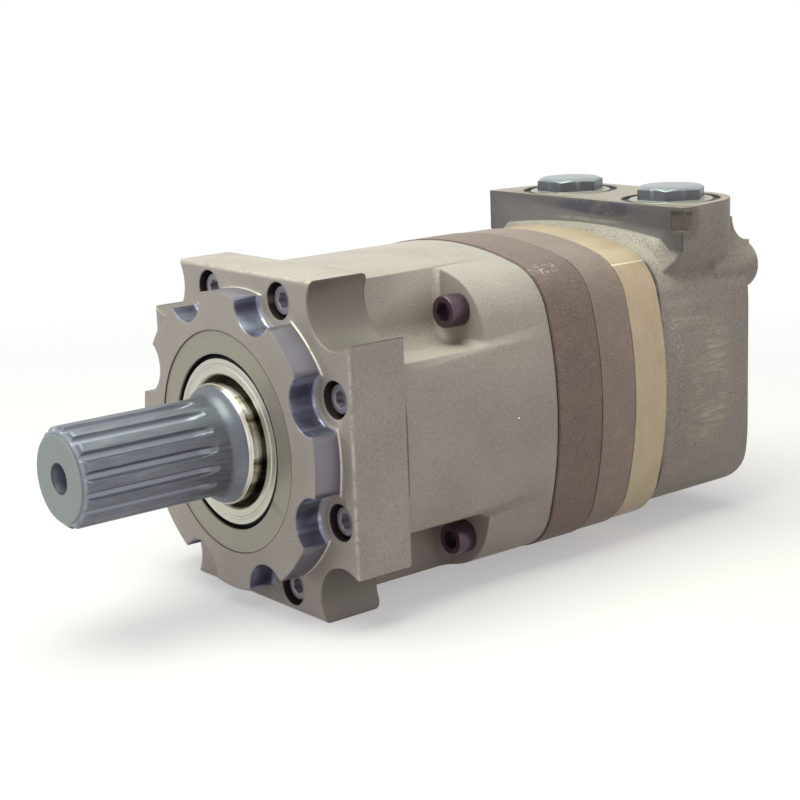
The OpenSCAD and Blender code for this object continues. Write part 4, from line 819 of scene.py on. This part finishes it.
# Both ends of each scratch as (y, z), and its width, in millimetres.
SCRATCHES = [((252.0, 42.5), (260.0, 46.5), 0.4), ((248.6, 38.6), (279.0, 36.9), 0.5),
             ((244.6, -50.7), (267.2, -51.4), 0.4)]
TOP_PITS = [(37.6 * MM, 240.2 * MM, 88 * MM), (42.5 * MM, 240.6 * MM, 87.4 * MM)]


def scratch(tree, y, z, start, end, width):
    """1 within width of the line from start to end, both (y, z) in millimetres."""
    here = add(tree, "CombineXYZ", 0.0, y, z)
    a, b = [Vector((0, *(v * MM for v in point))) for point in (start, end)]
    off = add(tree, "VectorMath", here, a, operation="SUBTRACT")
    slope = (b - a) / (b - a).length_squared
    share = add(tree, "VectorMath", off, slope, operation="DOT_PRODUCT").outputs["Value"]
    share = add(tree, "Math", share, 0.0, operation="MAXIMUM")
    share = add(tree, "Math", share, 1.0, operation="MINIMUM")
    along = add(tree, "VectorMath", {0: b - a, "Scale": share}, operation="SCALE")
    aside = add(tree, "VectorMath", off, along, operation="SUBTRACT")
    gap = add(tree, "VectorMath", aside, operation="LENGTH").outputs["Value"]
    return zone(tree, (gap, width * MM, 0.3 * width * MM))


def rough_casting():
    """Dark foundry skin. To the eye: grey-brown, sandy, nearly matt, with rubbed streaks, flecks
    along the front rim and a few scratches on the right side. Painted shade darkens the walls of the
    spot faces round the plugs and the pad's corner scoop."""
    material, tree = new_material("dark_rough_casting")
    where, x, y, z = split(tree)
    clouds = mottle(tree, 26 * MM, 4.0, 0.55)
    grain = mottle(tree, 1.1 * MM, 4.0, 0.62)
    colour = shades(tree, clouds, ((0.3, "#9c948a"), (0.5, "#a49c92"), (0.72, "#ada59b")),
                    (zone(tree, (grain, 0.48, 0.64, 0.0, 0.35)), "#c4bcb0"),
                    (zone(tree, (grain, 0.50, 0.32, 0.0, 0.5)), "#645d56"))
    swell = add(tree, "Math", clouds, 4.0, operation="MULTIPLY")
    look = {"colour": colour, "rough": zone(tree, (clouds, 0.3, 0.7, 0.50, 0.62)), "metal": 0.15,
            "relief": add(tree, "Math", grain, swell, operation="ADD")}
    right = zone(tree, (x, 76 * MM, 79 * MM))
    streaks = (mottle(tree, 1.3 * MM, 3.0, 0.6, stretch=(1, 0.06, 1)), 0.46, 0.64)
    patches = (mottle(tree, 16 * MM, 3.0, 0.6), 0.34, 0.60, 0.05, 1.0)
    field = zone(tree, right, (y, 259 * MM, 266 * MM), (y, 303 * MM, 284 * MM),
                 (z, -58 * MM, -28 * MM), (z, 40 * MM, 20 * MM))
    over(tree, look, zone(tree, field, patches, 0.28), "#b3a48d", 0.45)
    over(tree, look, zone(tree, streaks, patches, field, 0.75), "#cdbea5", 0.40, 0.3)
    flecks = (mottle(tree, 2.2 * MM, 3.0, 0.7), 0.56, 0.66)
    rim = zone(tree, right, band(tree, y, 247 * MM, 257 * MM, 4 * MM),
               band(tree, z, -40 * MM, 42 * MM, 14 * MM))
    over(tree, look, zone(tree, flecks, rim, 0.7), "#c4b9a4", 0.4)
    worn = (mottle(tree, 2.5 * MM, 3.0, 0.7), 0.30, 0.52)
    for ends_and_width in SCRATCHES:
        line = scratch(tree, y, z, *ends_and_width)
        over(tree, look, zone(tree, right, line, worn, 0.65), "#c4b7a2", 0.4)
    face = zone(tree, (y, PAD_FRONT_Y + 0.5 * MM, PAD_FRONT_Y + 0.2 * MM), (z, 76 * MM, 80 * MM),
                (y, PAD_FRONT_Y - 0.6 * MM, PAD_FRONT_Y - 0.3 * MM))
    over(tree, look, face, "#696565")
    rubbed = (mottle(tree, 7 * MM, 4.0, 0.7), 0.34, 0.56)
    high = spot(tree, where, PAD_RUBBED_HIGH, 44 * MM, stretch=(1, 1, 8))
    over(tree, look, zone(tree, face, rubbed, high), "#4c4b58", 0.4)
    low = spot(tree, where, PAD_RUBBED_LOW, 34 * MM, stretch=(1, 1, 24))
    over(tree, look, zone(tree, face, rubbed, low, 0.6), "#8d877c")
    # Painted shade in the pad's corner scoop.
    over(tree, look, zone(tree, spot(tree, where, PAD_SCOOP, 15 * MM), 0.45), "#5d5650")
    for pit in TOP_PITS:
        over(tree, look, spot(tree, where, pit, 1.5 * MM, stretch=(1, 1, 0.3)), "#4b4641")
    aside = add(tree, "Math", add(tree, "Math", x, operation="ABSOLUTE"), PORT_X, operation="SUBTRACT")
    from_port = radial(tree, aside, add(tree, "Math", y, PORT_Y, operation="SUBTRACT"))
    # Painted shade: the walls of the spot faces round the plugs are painted near black.
    spot_face_shade = zone(tree, band(tree, z, SPOT_FACE_Z - 1 * MM, PORT_Z - 0.3 * MM, 0.2 * MM),
                (from_port, SPOT_FACE_R + 0.3 * MM, SPOT_FACE_R + 0.1 * MM))
    over(tree, look, spot_face_shade, "#312e2e", 0.45)
    r = radial(tree, x, z)
    past_chamfer = add(tree, "Math", r, CHAMFER_R, operation="SUBTRACT")
    turned_back = add(tree, "Math", past_chamfer, CHAMFER_SLOPE, operation="MULTIPLY")
    behind = add(tree, "Math", y, VALVE_FRONT_Y, operation="SUBTRACT")
    behind = add(tree, "Math", behind, turned_back, operation="SUBTRACT")
    chamfer = zone(tree, (behind, 0.5 * MM, 0.3 * MM), (r, SECTION_CORNER_R + 1 * MM, SECTION_CORNER_R))
    over(tree, look, chamfer, "#77737c", 0.32, 0.4, 0.3)
    finish_material(tree, look, 0.20 * MM, rounding=2.6 * MM)
    return material


place(bare_copy("valve_housing", "valve_housing_casting"), rough_casting(), "root",
      "valve_casting", "valve_housing")


# Port plugs: forged and turned steel plugs, zinc plated to a gunmetal grey, screwed into the two
# ports. The hexagon's top is chamfered round, and the flange fills the spot face.
PLUG_TOP_Z, PLUG_FLATS, PLUG_FLANGE_R = 112.3 * MM, 38.1 * MM, 25.8 * MM
PLUG_TURNS = {"left": math.radians(29.3), "right": math.radians(34.2)}
PLUG_COLUMNS = 144
PLUG_SHANK_R, PLUG_END_Z, PLUG_CHAMFER = 15.97 * MM, 85.9 * MM, math.tan(math.radians(27))


def port_plug(centre_x, turn):
    """Rows from the middle of the top over the round chamfer, down the hexagon, over the flange
    and along the shank. The chamfer falls with the distance past the flats."""
    angle = full_turn(PLUG_COLUMNS)
    hexagon_r = hexagon(angle - turn, PLUG_FLATS)
    chamfer_r = PLUG_FLATS / 2 - 0.7 * MM
    fall = (hexagon_r - chamfer_r) * PLUG_CHAMFER
    flange_z = PORT_Z - 0.1 * MM
    rows = [(0, PLUG_TOP_Z), (6 * MM, PLUG_TOP_Z), (chamfer_r, PLUG_TOP_Z),
            (chamfer_r + (hexagon_r - chamfer_r) * 0.85, PLUG_TOP_Z - fall * 0.85),
            (hexagon_r, PLUG_TOP_Z - fall - 0.15 * MM), (hexagon_r, flange_z + 0.4 * MM),
            (hexagon_r + 0.4 * MM, flange_z)]
    outer = [(23 * MM, flange_z), (PLUG_FLANGE_R, flange_z, 0.5 * MM),
             (PLUG_FLANGE_R, SPOT_FACE_Z, 0.1 * MM), (PLUG_SHANK_R, SPOT_FACE_Z, 0.1 * MM),
             (PLUG_SHANK_R, PLUG_END_Z, 1 * MM), (0, PLUG_END_Z)]
    rows += [tuple(p) for p in filleted(outer)]
    x, z, y = np.moveaxis(around_y(rows, angle, (centre_x, PORT_Y)), -1, 0)
    return surface("plug", np.stack([x, y, z], -1))


def plug_lit_top_and_flange(tree, look):
    """Painted light: the machined top is painted paler, as lit from above, and the flats keep the
    darker base as their shade. The flange is paler too.
    """
    z = split(tree)[3]
    # Painted highlight: the top of each hexagon is painted paler.
    over(tree, look, zone(tree, (z, PLUG_TOP_Z - 1.8 * MM, PLUG_TOP_Z - 1.2 * MM)), "#9aa3a5", 0.32, 0.8)
    over(tree, look, band(tree, z, PORT_Z - 1.5 * MM, PORT_Z + 0.1 * MM, 0.1 * MM), "#a5a59b", 0.4, 0.6)


plug_steel = worked_metal("gunmetal_plated_steel", "#5f6266", "#74777b", 0.34, 1.1 * MM, 0.03 * MM,
                          metallic=0.8, zones=plug_lit_top_and_flange)
for side, turn in PLUG_TURNS.items():
    x = PORT_X if side == "right" else -PORT_X
    place(shown("hexagon_plug_" + side, port_plug(x, turn)), plug_steel, "root", "plug_steel",
          "port_plug_" + side)


# Inside parts: they keep their own solids and get the finish of the real ones, from ground
# bearing steel and bronze to rubber and copper.
def dress(material, *nodes):
    """Gives CAD nodes a finish and leaves their meshes alone."""
    for name in nodes:
        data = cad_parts[name].data
        data.materials.clear()
        data.materials.append(material)


def black_rubber():
    """Moulded nitrile rubber. To the eye: black, matt, with a faint bloom."""
    material, tree = new_material("black_nitrile_rubber")
    bloom = mottle(tree, 6 * MM, 4.0, 0.6)
    look = {"colour": shades(tree, bloom, ((0.3, "#171717"), (0.7, "#242322"))), "metal": 0.0,
            "rough": zone(tree, (bloom, 0.3, 0.7, 0.5, 0.62)),
            "relief": mottle(tree, 0.5 * MM, 2.0, 0.5)}
    finish_material(tree, look, 0.02 * MM)
    return material


ground_steel = worked_metal("ground_bearing_steel", "#b4b5b8", "#d2d3d5", 0.16, 0.6 * MM, 0.005 * MM,
                            stretch=(1, 4, 1))
lapped_steel = worked_metal("lapped_alloy_steel", "#a4a5a8", "#bebfc1", 0.22, 0.9 * MM, 0.01 * MM)
drive_steel = worked_metal("phosphated_drive_steel", "#6c6c70", "#8a8a8d", 0.40, 0.8 * MM, 0.03 * MM)
pressed_steel = worked_metal("pressed_cage_steel", "#85868a", "#a3a4a7", 0.34, 1.4 * MM, 0.02 * MM)
turned_bronze = worked_metal("turned_bronze", "#a8854f", "#c4a067", 0.30, 0.7 * MM, 0.01 * MM,
                             stretch=(1, 5, 1))
spring_wire = worked_metal("bright_spring_wire", "#9c9da2", "#b9babd", 0.25, 0.5 * MM, 0.005 * MM)
soft_copper = worked_metal("soft_copper", "#b0714c", "#cc8b62", 0.30, 0.8 * MM, 0.01 * MM)
rubber = black_rubber()
dress(rubber, "shaft_seal", "flange_seal", "housing_seal", "ring_front_seal", "ring_rear_seal",
      "valve_plate_seal", "balance_seals", "port_seal_left", "port_seal_right")
dress(ground_steel, "front_bearing_cup", "rear_bearing_cup", "front_bearing_cone", "rear_bearing_cone",
      "front_tapers", "rear_tapers", *[f"roller_{k}" for k in range(1, 8)])
dress(lapped_steel, "star", "rotary_valve", "alignment_pins")
dress(drive_steel, "main_drive", "valve_drive", "drive_spacer", "bearing_spacer")
dress(pressed_steel, "front_cage", "rear_cage")
dress(turned_bronze, "backup_ring", "balance_ring")
dress(spring_wire, "balance_springs")
dress(screw_steel, "bearing_nut")
dress(soft_copper, "drain_seal")
dress(plug_steel, "drain_plug")
